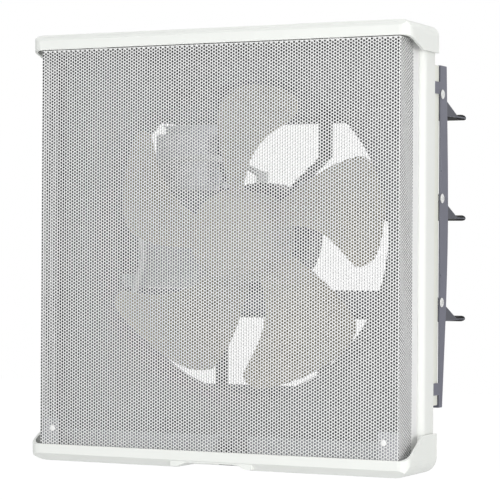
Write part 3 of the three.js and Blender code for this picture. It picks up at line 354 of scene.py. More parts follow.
# %% Finishes
white_plastic = finish("white_plastic", (0.83, 0.845, 0.81), 0.5, second=(0.80, 0.815, 0.78),
                       grain=1400, bump=0.04, edge=(0.9, 0.91, 0.88), dust=0.10, gloss=0.25)
panel_plastic = finish("panel_plastic", (0.84, 0.85, 0.82), 0.6, second=(0.80, 0.81, 0.78),
                       grain=1200, bump=0.05, edge=(0.9, 0.91, 0.88), dust=0.14, gloss=0.15)
ivory_paint = finish("ivory_paint", (0.83, 0.835, 0.76), 0.4, second=(0.79, 0.80, 0.72),
                     grain=700, bump=0.10, edge=(0.88, 0.88, 0.82), dust=0.16, streaks=0.05)
sheet_enamel = finish("sheet_enamel", (0.84, 0.84, 0.835), 0.5, second=(0.79, 0.79, 0.785),
                      grain=800, bump=0.05, dust=0.1, gloss=0.3)
# painted shade: the sheet's back skin and the walls of its front holes are near black, for the
# shade inside the holes
sheet_painted_shade = finish("sheet_painted_shade", (0.1, 0.1, 0.104), 0.55, second=(0.07, 0.07, 0.073),
                      grain=800, bump=0.08, dust=0.1)
# painted shade: the walls of the holes in the sides are mid grey, for the shade they lie in
sheet_side_painted_shade = finish("sheet_side_painted_shade", (0.42, 0.42, 0.425), 0.55, second=(0.38, 0.38, 0.385))
beige_plastic = finish("beige_plastic", (0.55, 0.5, 0.38), 0.5, second=(0.51, 0.46, 0.35),
                       grain=1000, bump=0.05, edge=(0.66, 0.62, 0.52), dust=0.1, gloss=0.3)
slate_paint = finish("slate_paint", (0.135, 0.137, 0.175), 0.5, second=(0.1, 0.102, 0.132),
                     grain=600, bump=0.12, edge=(0.3, 0.31, 0.36), dust=0.12, streaks=0.3,
                     gloss=0.35)
# painted shade: the leaves wear a darker copy of the shutter's slate paint, for the shade they hang
# in behind the duct
leaf_shaded_paint = finish("leaf_shaded_paint", (0.05, 0.052, 0.07), 0.5, second=(0.042, 0.044, 0.058),
                    grain=600, bump=0.12, edge=(0.3, 0.31, 0.36), dust=0.2, streaks=0.15,
                    gloss=0.35)
black_rubber = finish("black_rubber", (0.005, 0.005, 0.006), 0.62, second=(0.009, 0.009, 0.01),
                      grain=1500, bump=0.16, dust=0.04, gloss=0.1)
white_nylon = finish("white_nylon", (0.84, 0.84, 0.83), 0.38, second=(0.8, 0.8, 0.79), dust=0.08)
grey_plastic = finish("grey_plastic", (0.47, 0.475, 0.5), 0.48, second=(0.42, 0.425, 0.45),
                      edge=(0.55, 0.55, 0.58), dust=0.2)
dark_plastic = finish("dark_plastic", (0.035, 0.035, 0.038), 0.5, second=(0.025, 0.025, 0.028),
                      edge=(0.09, 0.09, 0.095), dust=0.15)
pale_can = finish("pale_can", (0.84, 0.84, 0.91), 0.4, second=(0.78, 0.78, 0.85),
                  edge=(0.88, 0.88, 0.92), dust=0.1)
motor_paint = finish("motor_paint", (0.03, 0.03, 0.033), 0.45, metallic=0.2,
                     second=(0.022, 0.022, 0.025), grain=500, bump=0.12, edge=(0.25, 0.25, 0.26),
                     dust=0.3)
zinc_plate = finish("zinc_plate", (0.58, 0.59, 0.6), 0.34, metallic=0.9, second=(0.48, 0.49, 0.5),
                    grain=300, bump=0.05, edge=(0.75, 0.75, 0.76), dust=0.12, streaks=0.1)
bracket_zinc = finish("bracket_zinc", (0.56, 0.565, 0.6), 0.5, metallic=0.35,
                      second=(0.5, 0.505, 0.54), grain=300, bump=0.05, dust=0.1)
lamination = finish("lamination", (0.22, 0.22, 0.23), 0.5, metallic=0.8, second=(0.14, 0.14, 0.15),
                    grain=400, bump=0.2, dust=0.1)
copper_wire = finish("copper_wire", (0.5, 0.2, 0.09), 0.35, metallic=0.85,
                     second=(0.36, 0.13, 0.05), grain=500, bump=0.4, dust=0.1)
bronze = finish("bronze", (0.4, 0.27, 0.13), 0.38, metallic=0.9, second=(0.33, 0.22, 0.1), dust=0.1)
print("finishes:", len(bpy.data.materials) - 1)

# %% [markdown]
# ## Painted shade on two pieces
#
# The panel's rim and sides are white, but its face behind the cover is painted grey, as painted
# shade for the shadow the sheet casts on it, and the duct is painted black inside, as painted
# shade for its unlit inside. Through the holes these two read as the dark ground of the sheet. A
# mask over the piece's own X, Y and Z says where the painted shade lies, so each piece stays whole.

# %% Painted shade inside a box


def within(tree, value, low, high):
    """1 where low < value < high."""
    return math_node(
        tree, "MULTIPLY", math_node(tree, "GREATER_THAN", value, low),
        math_node(tree, "LESS_THAN", value, high),
    )


def painted_shade_in_box(material, colour, low, high):
    """Painted shade: another, darker colour on the part of a piece that lies in a box. Corners in
    metres.
    """
    tree = material.node_tree
    where = tree.nodes.new("ShaderNodeTexCoord")
    split = tree.nodes.new("ShaderNodeSeparateXYZ")
    tree.links.new(where.outputs["Object"], split.inputs[0])
    inside = within(tree, split.outputs["X"], low[0], high[0])
    for axis, least, most in (("Y", low[1], high[1]), ("Z", low[2], high[2])):
        inside = math_node(tree, "MULTIPLY", inside, within(tree, split.outputs[axis], least, most))
    socket = tree.nodes["Principled BSDF"].inputs["Base Color"]
    tree.links.new(mix_colour(tree, inside, socket.links[0].from_socket, colour), socket)


BEHIND_COVER = (-0.1668, -0.03, -0.185), (0.1668, 0.0185, 0.16)
INSIDE_DUCT = (-0.1464, -0.03, -0.1429), (0.1464, 0.09, 0.1479)
# painted shade: grey on the panel's face behind the sheet, for the shadow the sheet casts on it
painted_shade_in_box(panel_plastic, (0.21, 0.21, 0.212), *BEHIND_COVER)
# painted shade: black on the duct's inside, for the shade inside it
painted_shade_in_box(ivory_paint, (0.02, 0.02, 0.023), *INSIDE_DUCT)

# %% [markdown]
# ## Which solid wears which finish
#
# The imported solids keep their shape. Each gets its finish in its material slots. The solids come
# in with split corners, so a *weld* closes them, *dissolve* turns the triangles of a flat face
# into one face, and a narrow *bevel* gives the edges the small radius that light needs.

# %% Dressing the solids
wears = {
    white_plastic: ["top_trim", "bottom_trim"],
    panel_plastic: ["orifice_panel", "orifice_ring"],
    ivory_paint: ["duct_box"],
    sheet_enamel: ["perforated_cover"],
    slate_paint: ["shutter_frame", "shutter_link"],
    leaf_shaded_paint: [f"shutter_leaf_{i}" for i in (1, 2, 3)],
    black_rubber: [f"leaf_seal_{i}" for i in (1, 2, 3)],
    white_nylon: [f"pivot_pin_{side}_{i}" for side in ("left", "right") for i in (1, 2, 3)]
    + ["cover_rivet_left", "cover_rivet_right", "actuator_slide", "lead_sleeve"],
    grey_plastic: ["actuator_case", "terminal_box"],
    dark_plastic: ["cover_latch", "cord_gland"],
    beige_plastic: ["propeller", "spinner"],
    pale_can: ["capacitor"],
    motor_paint: ["motor_front_shell", "motor_rear_shell"]
    + [f"motor_arm_{height}_{side}" for height in ("top", "bottom") for side in ("left", "right")],
    bracket_zinc: ["bottom_rail", "corner_bracket_left", "corner_bracket_right"],
    lamination: ["rotor", "stator_core"],
    copper_wire: ["stator_windings"],
    bronze: ["front_bearing", "rear_bearing"],
}
dressed = {node: material for material, names in wears.items() for node in names}
for node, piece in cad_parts.items():
    for material_slot in piece.material_slots:
        material_slot.material = dressed.get(node, zinc_plate)
print("in zinc plate:", sorted(set(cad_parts) - set(dressed)))

# %% Softening the edges
SAME_PLACE = 2e-6  # corners this close, in metres, are one
FLAT = math.radians(0.6)
SHARP = math.radians(32)


def soften(node, width):
    """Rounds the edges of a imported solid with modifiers. width is in millimetres."""
    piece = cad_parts[node]
    piece.modifiers.new("weld", "WELD").merge_threshold = SAME_PLACE
    flat = piece.modifiers.new("flat_faces", "DECIMATE")
    flat.decimate_type = "DISSOLVE"
    flat.angle_limit = FLAT
    bevel = piece.modifiers.new("edge_radius", "BEVEL")
    bevel.width = width * mm
    bevel.segments = 3
    bevel.limit_method = "ANGLE"
    bevel.angle_limit = SHARP
    piece.modifiers.new("even_normals", "WEIGHTED_NORMAL").keep_sharp = True


edge_widths = {
    "top_trim": 2.0, "bottom_trim": 2.4, "duct_box": 0.35, "shutter_link": 0.3,
    "actuator_case": 1.2, "terminal_box": 1.2, "capacitor": 2.0, "cover_latch": 0.5,
    "bottom_rail": 0.3, "corner_bracket_left": 0.3, "corner_bracket_right": 0.3,
    "cord_gland": 0.5, "actuator_slide": 0.3, "actuator_bracket": 0.3, "latch_strike": 0.25,
}
for node, width in edge_widths.items():
    soften(node, width)
print("softened:", len(edge_widths))

# %% [markdown]
# ## The perforated sheet
#
# This sheet is what one sees first, and its holes can't be painted on: through each one shows
# another spot of the propeller or the panel. So every hole is cut. The holes are staggered, so
# each owns a hexagon of sheet, and the hexagons tile the sheet without a gap. A hexagon is six
# small faces between its corners and its hole. The tiles are laid out on a flat blank and the
# blank is then folded over the cover's two upright edges, as the real one is in a press.

# %% Layout of the holes
HOLE_PITCH = 2.65 * mm
HOLE_RADIUS = 1.06 * mm
HOLE_SIDES = 6
SHEET = 0.8 * mm
FOLD = 1.6 * mm  # outer radius of the two upright folds
TOP_MARGIN = 0.15 * mm
HOLES_REACH = 26 * mm  # how far past the folds the holes go on
BANDS = 5
COLUMN_PITCH = HOLE_PITCH * math.sqrt(3) / 2
TILE_CORNER = HOLE_PITCH / math.sqrt(3)  # from a tile's centre to its corners
cover_low, cover_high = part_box("perforated_cover")
cover_half, cover_back, cover_bottom = cover_high.x, cover_high.y, cover_low.z
cover_front, cover_top = -62.0 * mm, 160.0 * mm  # without the hooks, which reach further
straight_half = cover_half - FOLD
fold_length = FOLD * math.pi / 2
blank_half = straight_half + fold_length + (cover_back - cover_front - FOLD)
last_column = round((straight_half + fold_length + HOLES_REACH) / COLUMN_PITCH)
columns = 2 * last_column + 1
rows = int((cover_top - cover_bottom - 2 * TOP_MARGIN) / HOLE_PITCH)
print(columns, "columns of", rows, "holes, every second one a hole shorter")


def tile_centre(column, row):
    """Row 0 is the top one. Odd columns sit half a pitch lower."""
    stagger = 0.5 if column % 2 else 0.0
    return column * COLUMN_PITCH, cover_top - TOP_MARGIN - HOLE_PITCH * (0.5 + row + stagger)


def column_ends(column):
    """How far up and down the tiles of a column reach."""
    last = rows - 1 - column % 2
    return tile_centre(column, 0)[1] + HOLE_PITCH / 2, tile_centre(column, last)[1] - HOLE_PITCH / 2


def around(centre, radius, sides):
    """The corners of a regular polygon."""
    turns = [2 * math.pi * k / sides for k in range(sides)]
    return [(centre[0] + radius * math.cos(t), centre[1] + radius * math.sin(t)) for t in turns]


# %% Folding and thickening


def folded(u, z, inset):
    """Where the flat blank's point (u, z) lies in the folded cover, inset below its outer skin."""
    side, reach = (1 if u >= 0 else -1), abs(u)
    if reach <= straight_half:
        return (u, cover_front + inset, z)
    if reach <= straight_half + fold_length:
        turn = (reach - straight_half) / FOLD
        across, back = (FOLD - inset) * math.sin(turn), FOLD - (FOLD - inset) * math.cos(turn)
        return (side * (straight_half + across), cover_front + back, z)
    back = FOLD + reach - straight_half - fold_length
    return (side * (cover_half - inset), cover_front + back, z)


def thickened(points, faces):
    """Two skins from one flat layout, with a wall along every open edge between them."""
    count = len(points)
    skins = [folded(u, z, 0.0) for u, z in points] + [folded(u, z, SHEET) for u, z in points]
    open_edges = {}
    for face in faces:
        for a, b in zip(face, face[1:] + face[:1]):
            if open_edges.pop((b, a), None) is None:
                open_edges[(a, b)] = True
    inner = [tuple(v + count for v in reversed(face)) for face in faces]
    walls = [(b, a, a + count, b + count) for a, b in open_edges]
    return skins, faces + inner + walls, len(faces)


# %% The tiles of one band of columns


def perforated_band(first, last):
    """Some columns of tiles with the plain sheet around them, folded and thickened."""
    points, index, faces = [], {}, []

    def face(*corners):
        """Adds a face on the flat blank. Corners that fall together share one point."""
        found = []
        for u, z in corners:
            key = (round(u * 1e7), round(z * 1e7))
            if key not in index:
                index[key] = len(points)
                points.append((u, z))
            if index[key] not in found:
                found.append(index[key])
        faces.append(tuple(found))

    share = HOLE_SIDES // 6
    for column in range(first, last + 1):
        u = column * COLUMN_PITCH
        for row in range(rows - column % 2):
            centre = tile_centre(column, row)
            rim, hole = around(centre, TILE_CORNER, 6), around(centre, HOLE_RADIUS, HOLE_SIDES)
            for k in range(6):
                arc = [hole[(share * (k + 1) - n) % HOLE_SIDES] for n in range(share + 1)]
                face(rim[k], rim[(k + 1) % 6], *arc)
            z, half = centre[1], HOLE_PITCH / 2
            for side, outermost in ((1, last_column), (-1, -last_column)):
                if column != outermost:
                    continue
                edge = side * blank_half
                near, far = u + side * TILE_CORNER / 2, u + side * TILE_CORNER
                for quad in (
                    [(near, z - half), (edge, z - half), (edge, z), (far, z)],
                    [(far, z), (edge, z), (edge, z + half), (near, z + half)],
                ):
                    face(*(quad if side > 0 else reversed(quad)))
        top, bottom = column_ends(column)
        left, right = u - TILE_CORNER / 2, u + TILE_CORNER / 2
        strips = [(left, right, (top, bottom))]
        if column == -last_column:
            strips.append((-blank_half, left, (top, bottom)))
        if column == last_column:
            strips.append((right, blank_half, (top, bottom)))
        else:
            strips.append((right, right + TILE_CORNER / 2, column_ends(column + 1)))
        for start, stop, (stop_top, stop_bottom) in strips:
            face((start, top), (stop, stop_top), (stop, cover_top), (start, cover_top))
            face((start, cover_bottom), (stop, cover_bottom), (stop, stop_bottom), (start, bottom))
    return thickened(points, faces)


# %% The cover's sheet


def placed(mesh):
    """A new piece with that mesh, under the mesh's name."""
    piece = bpy.data.objects.new(mesh.name, mesh)
    bpy.context.scene.collection.objects.link(piece)
    return piece


def new_piece(name, points, faces, material, smooth=False):
    mesh = bpy.data.meshes.new(name)
    mesh.from_pydata([tuple(p) for p in points], [], faces)
    mesh.materials.append(material)
    if smooth:
        mesh.shade_smooth()
    mesh.update()
    return placed(mesh)


def install(piece, body, slot, *nodes):
    """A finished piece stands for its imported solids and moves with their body."""
    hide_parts(*nodes)
    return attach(piece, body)


# painted shade: slot 1 holds the near-black one for the back skin and the front holes' walls, slot
# 2 the mid-grey one for the side holes' walls
BACK_SKIN, SIDE_WALLS = 1, 2  # material slots. The holes' walls on the front are dark too.
for band in range(BANDS):
    first = -last_column + band * columns // BANDS
    last = -last_column + (band + 1) * columns // BANDS - 1
    points, faces, outer_faces = perforated_band(first, last)
    sheet = new_piece(f"cover_sheet_{band + 1}", points, faces, sheet_enamel)
    sheet.data.materials.append(sheet_painted_shade)
    sheet.data.materials.append(sheet_side_painted_shade)
    for face in sheet.data.polygons[outer_faces:]:
        dark = face.index < 2 * outer_faces or face.center.y < cover_front + 2 * SHEET
        face.material_index = BACK_SKIN if dark else SIDE_WALLS
    install(sheet, "cover", "mesh_metal", "perforated_cover")
    print(sheet.name, "faces:", len(sheet.data.polygons))

# %% [markdown]
# ## The cover's folds and hooks
#
# The sheet's top and bottom edges are folded back too. They carry no holes. Two tongues at the
# top hang in the top trim, and the bottom fold has a slot that the latch comes up through. Each
# is a profile drawn in Y and Z and drawn out along X, which is how a brake forms it.

# %% Folded strips


def drawn_along_x(name, profile, x0, x1, material, bevel=0.0):
    """A closed piece from a profile of (y, z) points in millimetres."""
    count = len(profile)
    points = [(x * mm, y * mm, z * mm) for x in (x0, x1) for y, z in profile]
    faces = [tuple(range(count)), tuple(reversed(range(count, 2 * count)))]
    faces += [(i, i + count, (i + 1) % count + count, (i + 1) % count) for i in range(count)]
    piece = new_piece(name, points, faces, material)
    shape = bmesh.new()
    shape.from_mesh(piece.data)
    bmesh.ops.recalc_face_normals(shape, faces=shape.faces)
    shape.to_mesh(piece.data)
    shape.free()
    if bevel:
        edge = piece.modifiers.new("edge_radius", "BEVEL")
        edge.width, edge.segments, edge.limit_method = bevel * mm, 2, "ANGLE"
    return piece


def applied(piece):
    """Turns a piece's modifiers into its mesh."""
    bpy.context.view_layer.update()
    evaluated = piece.evaluated_get(bpy.context.evaluated_depsgraph_get())
    finished = bpy.data.meshes.new_from_object(evaluated)
    piece.modifiers.clear()
    piece.data = finished


def cut(piece, cutter):
    """Takes the cutter's shape out of the piece, and the cutter out of the scene."""
    carve = piece.modifiers.new("cut", "BOOLEAN")
    carve.operation, carve.object, carve.solver = "DIFFERENCE", cutter, "EXACT"
    applied(piece)
    bpy.data.objects.remove(cutter)


def block(name, low, high):
    """A plain cutter, in millimetres."""
    profile = [(low[1], low[2]), (high[1], low[2]), (high[1], high[2]), (low[1], high[2])]
    return drawn_along_x(name, profile, low[0], high[0], zinc_plate)


HOOK_X, HOOK_HALF = 110, 7
HOOK = [(-60.4, 159.5), (-59.4, 159.5), (-59.4, 165.3), (-62.4, 165.3), (-62.4, 164.3),
        (-60.4, 164.3)]
inner_half = (cover_half - SHEET) / mm
front, back = (cover_front + SHEET) / mm - 0.2, cover_back / mm
top_fold = drawn_along_x(
    "cover_top_fold", [(front, 159.3), (back, 159.3), (back, 160), (front, 160)],
    -inner_half, inner_half, sheet_enamel,
)
install(top_fold, "cover", "mesh_metal", "perforated_cover")
low = cover_bottom / mm
bottom_fold = drawn_along_x(
    "cover_bottom_fold", [(front, low), (back, low), (back, low + 0.7), (front, low + 0.7)],
    -inner_half, inner_half, sheet_enamel,
)
cut(bottom_fold, block("slot", (-8.5, -38, low - 1), (8.5, -29, low + 2)))
install(bottom_fold, "cover", "mesh_metal", "perforated_cover")
for side, word in ((-1, "left"), (1, "right")):
    hook = drawn_along_x(
        f"cover_hook_{word}", HOOK, side * HOOK_X - HOOK_HALF, side * HOOK_X + HOOK_HALF,
        sheet_enamel, bevel=0.3,
    )
    install(hook, "cover", "mesh_metal", "perforated_cover")

# %% [markdown]
# ## The propeller
#
# The propeller is one injection moulding: a cup-shaped hub and five broad, swept blades. Each
# blade is a grid between its leading and its trailing edge, given here as an angle for a few
# shares of the radius. The grid is given a wall, and a subdivision rounds its rim, because a
# moulded blade has no sharp edge anywhere.

# %% Shape of a blade
BLADE_RADIUS, HUB_RADIUS, HUB_FRONT = 131.5, 38.5, -16.0
BLADE_FRONT, BLADE_BACK, BLADE_PHASE, BLADES = -31.0, 18.0, 57.7, 5
leading_edge = [(0.28, 27), (0.48, 22), (0.64, 14.5), (0.8, 5.5), (0.92, 0.6), (1, 0)]
trailing_edge = [(0.28, 64), (0.48, 59), (0.76, 53.5), (0.96, 48), (1, 45)]


def along(pairs, share):
    """A smooth curve through the pairs, with each inner slope taken from its two neighbours."""
    share = min(max(share, pairs[0][0]), pairs[-1][0])
    slopes = []
    for i in range(len(pairs)):
        a, b = pairs[max(i - 1, 0)], pairs[min(i + 1, len(pairs) - 1)]
        slopes.append((b[1] - a[1]) / (b[0] - a[0]))
    i = next(i for i in range(len(pairs) - 1) if share <= pairs[i + 1][0])
    (x0, y0), (x1, y1) = pairs[i], pairs[i + 1]
    width = x1 - x0
    t = (share - x0) / width
    return (
        y0 * (1 + 2 * t) * (1 - t) ** 2 + slopes[i] * width * t * (1 - t) ** 2
        + y1 * t * t * (3 - 2 * t) + slopes[i + 1] * width * t * t * (t - 1)
    )


def blade_point(t, s):
    """t runs from the hub to the tip and s from the leading to the trailing edge. Millimetres."""
    root = HUB_RADIUS - 1.25
    nose = 1 - 0.1 * max(0, 1 - s / 0.14) ** 2
    heel = 1 - 0.06 * max(0, (s - 0.9) / 0.1) ** 2
    r = root + (BLADE_RADIUS * nose * heel - root) * t
    lead, trail = along(leading_edge, r / BLADE_RADIUS), along(trailing_edge, r / BLADE_RADIUS)
    angle = math.radians(lead + (trail - lead) * s)
    out = (r - root) / (BLADE_RADIUS - root)
    front = HUB_FRONT + 3 + (BLADE_FRONT - HUB_FRONT - 3) * out
    back = BLADE_BACK - 2 + 2 * out
    y = front + (back - front) * s + 4 * math.sin(math.pi * s) * out
    return Vector((r * math.cos(angle), y, r * math.sin(angle)))


# %% Turned parts


def turned(name, profile, material, segments=96, closed=True):
    """A piece turned about the fan's axis, from (radius, y) points in millimetres."""
    points, faces = [], []
    count = len(profile)
    for k in range(segments):
        turn = 2 * math.pi * k / segments
        points += [(r * math.cos(turn) * mm, y * mm, r * math.sin(turn) * mm) for r, y in profile]
    for k in range(segments):
        here, there = k * count, (k + 1) % segments * count
        for i in range(count if closed else count - 1):
            j = (i + 1) % count
            faces.append((here + i, here + j, there + j, there + i))
    shape = bmesh.new()
    for point in points:
        shape.verts.new(point)
    shape.verts.ensure_lookup_table()
    for face in faces:
        shape.faces.new([shape.verts[v] for v in face])
    bmesh.ops.remove_doubles(shape, verts=shape.verts, dist=1e-6)
    bmesh.ops.dissolve_degenerate(shape, edges=shape.edges, dist=1e-7)
    bmesh.ops.recalc_face_normals(shape, faces=shape.faces)
    mesh = bpy.data.meshes.new(name)
    shape.to_mesh(mesh)
    shape.free()
    mesh.materials.append(material)
    mesh.shade_smooth()
    mesh.set_sharp_from_angle(angle=math.radians(40))
    return placed(mesh)


def rounded(points, radius, steps=4):
    """Rounds the corners of an open run of (radius, y) points."""
    run = [points[0]]
    for a, b, c in zip(points, points[1:], points[2:]):
        a, b, c = Vector(a), Vector(b), Vector(c)
        reach = min(radius, (a - b).length * 0.45, (c - b).length * 0.45)
        enter, leave = b + (a - b).normalized() * reach, b + (c - b).normalized() * reach
        for k in range(steps + 1):
            t = k / steps
            run.append(tuple(enter.lerp(b, t).lerp(b.lerp(leave, t), t)))
    return run + [points[-1]]


# %% Hub and blades
ROWS, COLUMNS = 16, 10
BLADE_WALL = 1.9 * mm
blade_points, blade_faces = [], []
for n in range(BLADES):
    turn = Matrix.Rotation(-math.radians(BLADE_PHASE + 360 / BLADES * n), 3, "Y")
    start = len(blade_points)
    for i in range(ROWS + 1):
        for j in range(COLUMNS + 1):
            blade_points.append(turn @ blade_point(i / ROWS, j / COLUMNS) * mm)
    for i in range(ROWS):
        for j in range(COLUMNS):
            corner = start + i * (COLUMNS + 1) + j
            blade_faces.append((corner, corner + 1, corner + COLUMNS + 2, corner + COLUMNS + 1))
blades = new_piece("propeller_blades", blade_points, blade_faces, beige_plastic, smooth=True)
wall = blades.modifiers.new("wall", "SOLIDIFY")
wall.thickness, wall.offset = BLADE_WALL, 0
smoothing = blades.modifiers.new("moulded", "SUBSURF")
smoothing.levels = smoothing.render_levels = 2
install(blades, "fan", "beige_plastic", "propeller")

hub_profile = rounded(
    [(4.3, -16), (38.5, -16), (38.5, 18), (36, 18), (36, -13.5), (9, -13.5), (9, 14), (4.3, 14),
     (4.3, -16)],
    0.8,
)
hub = turned("propeller_hub", hub_profile[:-1], beige_plastic)
install(hub, "fan", "beige_plastic", "propeller")
print("blades:", BLADES, "hub faces:", len(hub.data.polygons))

# %% [markdown]
# ## The spinner
#
# A smooth cap covers the nut on the shaft. Its front is a flat dome, and its skirt laps over the
# hub. Like the hub it is turned, here from a run of points whose corners are rounded.

# %% Spinner
spinner_profile = rounded(
    [(0, -38), (16, -37.8), (27, -36.6), (34.6, -33.4), (39, -28), (40.5, -21), (40.5, -15),
     (39.1, -15), (39.1, -16.3), (37.1, -16.3), (36.5, -26), (31, -32.5), (9.3, -34),
     (9.3, -16.3), (4.3, -16.3), (4.3, -32), (0, -32)],
    1.6,
)
spinner = turned("spinner_cap", spinner_profile, beige_plastic, closed=False)
install(spinner, "fan", "beige_plastic", "spinner")

# %% [markdown]
# ## The bell mouth
#
# The panel rolls back into a round throat, so that the air turns in without noise. The packed
# ring has few faces. This one follows the same quarter circle finely.

# %% Bell mouth
MOUTH_OUTER, THROAT, MOUTH_RADIUS, PANEL_FRONT = 150.0, 136.0, 14.0, -22.0
MOUTH_WALL, MOUTH_BACK = 2.5, 18.0


def quarter(radius, steps=12):
    """From the panel's face round into the throat, as (radius, y) points."""
    turns = [math.radians(90 * k / steps) for k in range(steps + 1)]
    return [
        (MOUTH_OUTER - radius * math.sin(t), PANEL_FRONT + MOUTH_RADIUS - radius * math.cos(t))
        for t in turns
    ]


mouth_profile = (
    [(MOUTH_OUTER + 0.6, PANEL_FRONT)] + quarter(MOUTH_RADIUS)
    + [(THROAT, MOUTH_BACK - 0.5), (THROAT + 0.5, MOUTH_BACK), (THROAT + MOUTH_WALL, MOUTH_BACK)]
    + list(reversed(quarter(MOUTH_RADIUS - MOUTH_WALL)))
)
bell_mouth = turned("bell_mouth", mouth_profile, panel_plastic, segments=128)
install(bell_mouth, "housing", "white_plastic", "orifice_ring")
print("bell mouth:", len(bell_mouth.data.polygons), "faces")

# %% [markdown]
# ## The capacitor's plate
#
# The capacitor sits on a pale plate that is screwed to the motor's arm. The plate is one sheet
# with a folded rim, so it is drawn out along X and its corners are softened.

# %% Capacitor plate
can_low, can_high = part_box("capacitor")
PLATE_LEFT, PLATE_RIGHT, PLATE_UP, PLATE_DOWN, PLATE_THICK = 4.0, 3.5, 9.0, 3.5, 1.0
PLATE_RIM = 4.0
plate_y = can_high.y / mm + 0.3
rim_y, plate_back = plate_y - PLATE_RIM, plate_y + PLATE_THICK
plate_low, plate_high = can_low.z / mm - PLATE_DOWN, can_high.z / mm + PLATE_UP
inner_low, inner_high = plate_low + PLATE_THICK, plate_high - PLATE_THICK
plate = drawn_along_x(
    "capacitor_plate",
    [(rim_y, plate_low), (rim_y, inner_low), (plate_y, inner_low), (plate_y, inner_high),
     (rim_y, inner_high), (rim_y, plate_high), (plate_back, plate_high), (plate_back, plate_low)],
    can_low.x / mm - PLATE_LEFT, can_high.x / mm + PLATE_RIGHT, pale_can, bevel=0.3,
)
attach(plate, "housing")

# %% [markdown]
# ## The panel's rolled edge
#
# Past the cover the panel's front turns into its sides with a wide, soft edge, and the light runs
# from grey to white across it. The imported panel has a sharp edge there, so an editable copy of it
# gets the wide edge on its outer front corner only, and stands for it.

# %% A copy that may be reshaped


def taken_over(node):
    """A mesh to edit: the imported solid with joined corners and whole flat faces."""
    shape = bmesh.new()
    shape.from_mesh(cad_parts[node].data)
    bmesh.ops.remove_doubles(shape, verts=shape.verts, dist=SAME_PLACE)
    bmesh.ops.dissolve_limit(shape, angle_limit=FLAT, verts=shape.verts, edges=shape.edges)
    return shape


def front_rounded(shape, low, high, corner, radius, steps=6):
    """Cuts the outer sides at a few depths and draws each cut inwards, into a quarter round.

    low and high are the piece's box, and corner is the radius its outline has seen from the front.
    """
    turns = [math.pi / 2 * step / steps for step in range(steps + 1)]
    depths = [low.y + radius * (1 - math.cos(turn)) for turn in turns]
    for depth in depths[1:]:
        parts = list(shape.verts) + list(shape.edges) + list(shape.faces)
        bmesh.ops.bisect_plane(
            shape, geom=parts, dist=1e-6, plane_co=(0, depth, 0), plane_no=(0, 1, 0)
        )
    for point in shape.verts:
        core = Vector((
            min(max(point.co.x, low.x + corner), high.x - corner), point.co.y,
            min(max(point.co.z, low.z + corner), high.z - corner),
        ))
        away = point.co - core
        for turn, depth in zip(turns, depths):
            if abs(point.co.y - depth) < 1e-5 and away.length > corner - 1e-4:
                point.co -= away.normalized() * radius * (1 - math.sin(turn))
                break


def from_shape(name, shape, material):
    """A piece from a reshaped copy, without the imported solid's own normals and slots."""
    mesh = bpy.data.meshes.new(name)
    shape.to_mesh(mesh)
    shape.free()
    if "custom_normal" in mesh.attributes:
        mesh.attributes.remove(mesh.attributes["custom_normal"])
    mesh.materials.clear()
    mesh.materials.append(material)
    mesh.shade_smooth()
    mesh.set_sharp_from_angle(angle=math.radians(35))
    piece = placed(mesh)
    piece.modifiers.new("even_normals", "WEIGHTED_NORMAL").keep_sharp = True
    return piece


# %% Panel
shape = taken_over("orifice_panel")
front_rounded(shape, *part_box("orifice_panel"), corner=6 * mm, radius=5 * mm)
print("panel faces:", len(shape.faces))
panel = from_shape("panel", shape, panel_plastic)
install(panel, "housing", "white_plastic", "orifice_panel")

# %% [markdown]
# ## The shutter's frame
#
# The frame is bent from sheet, and its foot hangs a little below the duct so that rain drips
# clear of the wall. The copy's foot is let down by that much.

# %% Shutter frame
FOOT_MORE = 2.0 * mm
FOOT_THICK = 1.2 * mm
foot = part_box("shutter_frame")[0].z
shape = taken_over("shutter_frame")
for point in shape.verts:
    if point.co.z < foot + FOOT_THICK:
        point.co.z -= FOOT_MORE
shutter = from_shape("shutter_surround", shape, slate_paint)
edge = shutter.modifiers.new("edge_radius", "BEVEL")
edge.width, edge.segments, edge.limit_method = 0.3 * mm, 2, "ANGLE"
install(shutter, "housing", "slate_steel", "shutter_frame")

# %% [markdown]
# ## The leaves' rubber lips
#
# Each leaf ends in a fat rubber lip, slipped over the sheet, that closes quietly on the leaf
# below. It is an extrusion: one profile, given from the leaf's pivot, drawn along the leaf.

# %% Rubber lips
LIP = [(49, -16.4), (55, -15.5), (58, -14.6), (62, -13.7), (67, -13.0), (72, -12.9), (76.5, -13.4),
       (79, -14.4), (79.9, -15.5), (79, -16.7), (76, -17.5), (71, -17.9), (65, -17.8), (60, -17.4),
       (56, -16.9)]
LIP_HALF = 140.5
for number, body in enumerate(("leaf_top", "leaf_middle", "leaf_bottom"), start=1):
    low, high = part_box(f"pivot_pin_right_{number}")
    pivot_y, pivot_z = (low.y + high.y) / 2 / mm, (low.z + high.z) / 2 / mm
    lip = drawn_along_x(
        f"leaf_lip_{number}", [(pivot_y + y, pivot_z + z) for y, z in LIP], -LIP_HALF, LIP_HALF,
        black_rubber, bevel=0.5,
    )
    install(lip, body, "black_rubber", f"leaf_seal_{number}")
print("lips reach", round(max(y for y, z in LIP), 1), "mm from their pivots")

# %% [markdown]
# ## Screws, rivets and pivots
#
# Every fastener is a turned head and shank. A cross is sunk into the head with two small
# cutters, turned a little differently on each, as screws come to rest when they are tightened.

# %% One fastener


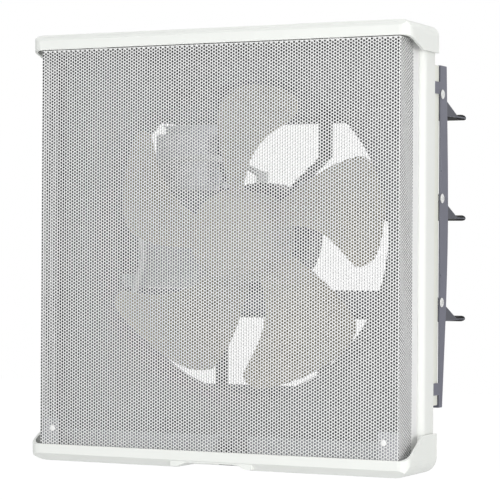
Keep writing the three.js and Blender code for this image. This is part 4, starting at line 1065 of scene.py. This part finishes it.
def fastener(name, seat, way, material, head, crown, shank, reach, cross=0.0, turn=0.0):
    """seat is the middle of the head's underside and way where the head looks.

    head and shank are radii, crown is the head's height and reach the shank's length, all in
    millimetres. cross is half the cross's length, and turn its angle in degrees.
    """
    profile = rounded(
        [(0, crown), (head * 0.7, crown * 0.9), (head, crown * 0.35), (head, 0), (shank, 0),
         (shank, shank * 0.5 - reach), (0, -reach)],
        0.35, steps=3,
    )
    piece = turned(name, profile, material, segments=36, closed=False)
    slit = 0.16 * cross + 0.2
    if cross:
        for arm, across in ((cross, slit), (slit, cross)):
            cut(piece, block("cutter", (-arm, crown * 0.35, -across), (arm, crown + 1, across)))
    aim = Vector((0, 1, 0)).rotation_difference(Vector(way)).to_matrix().to_4x4()
    piece.data.transform(
        Matrix.Translation(Vector(seat) * mm) @ aim @ Matrix.Rotation(math.radians(turn), 4, "Y")
    )
    return piece


# %% All fasteners
SCREW = {"material": zinc_plate, "head": 3.7, "crown": 2.0, "cross": 2.1}
SINK = 2.0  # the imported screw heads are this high
fasteners = []


def stands_for(node, body, slot, name, **shape):
    """Makes one fastener and installs it in its solid's place."""
    install(fastener(name, **shape), body, slot, node)
    fasteners.append(name)


def extent(node):
    """The low corner, the middle and the high corner of a solid's box, in millimetres."""
    low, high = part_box(node)
    return low / mm, (low + high) / 2 / mm, high / mm


for side, word in ((-1, "left"), (1, "right")):
    for number in (1, 2, 3):
        node = f"pivot_pin_{word}_{number}"
        middle = extent(node)[1]
        stands_for(
            node, "housing", "white_nylon", f"pivot_{word}_{number}", material=white_nylon,
            seat=(side * 148.3, middle.y, middle.z), way=(side, 0, 0), head=4.1, crown=1.2,
            shank=2.0, reach=9.2, cross=1.7, turn=8 + 9 * number,
        )
    node = f"panel_screw_{word}"
    low, middle, high = extent(node)
    stands_for(
        node, "housing", "steel", f"panel_screw_head_{word}", **SCREW,
        seat=(middle.x, high.y - SINK, middle.z), way=(0, 1, 0), shank=1.8, reach=7.4,
        turn=20 * side,
    )
    node = f"cover_rivet_{word}"
    middle = extent(node)[1]
    stands_for(
        node, "cover", "white_nylon", f"cover_rivet_head_{word}", material=white_nylon,
        seat=(middle.x, cover_front / mm, middle.z), way=(0, -1, 0), head=2.6, crown=0.9,
        shank=1.4, reach=4.0,
    )
    for height, way in (("top", -1), ("bottom", 1)):
        node = f"motor_screw_{height}_{word}"
        low, middle, high = extent(node)
        stands_for(
            node, "housing", "steel", f"motor_screw_head_{height}_{word}", **SCREW,
            seat=(middle.x, low.y + SINK, middle.z), way=(0, -1, 0), shank=1.5, reach=9.2,
            turn=25 * way + 12 * side,
        )
        node = f"arm_screw_{height}_{word}"
        low, middle, high = extent(node)
        seat = low.z + SINK if way < 0 else high.z - SINK
        stands_for(
            node, "housing", "steel", f"arm_screw_head_{height}_{word}", **SCREW,
            seat=(middle.x, middle.y, seat), way=(0, 0, way), shank=1.3, reach=3.4,
            turn=30 * side + 7 * way,
        )
print("fasteners:", len(fasteners))

# %% [markdown]
# ## The end
#
# The scene is brought up to date once more. The finished pieces must not grow the fan.

# %% The end
bpy.context.view_layer.update()
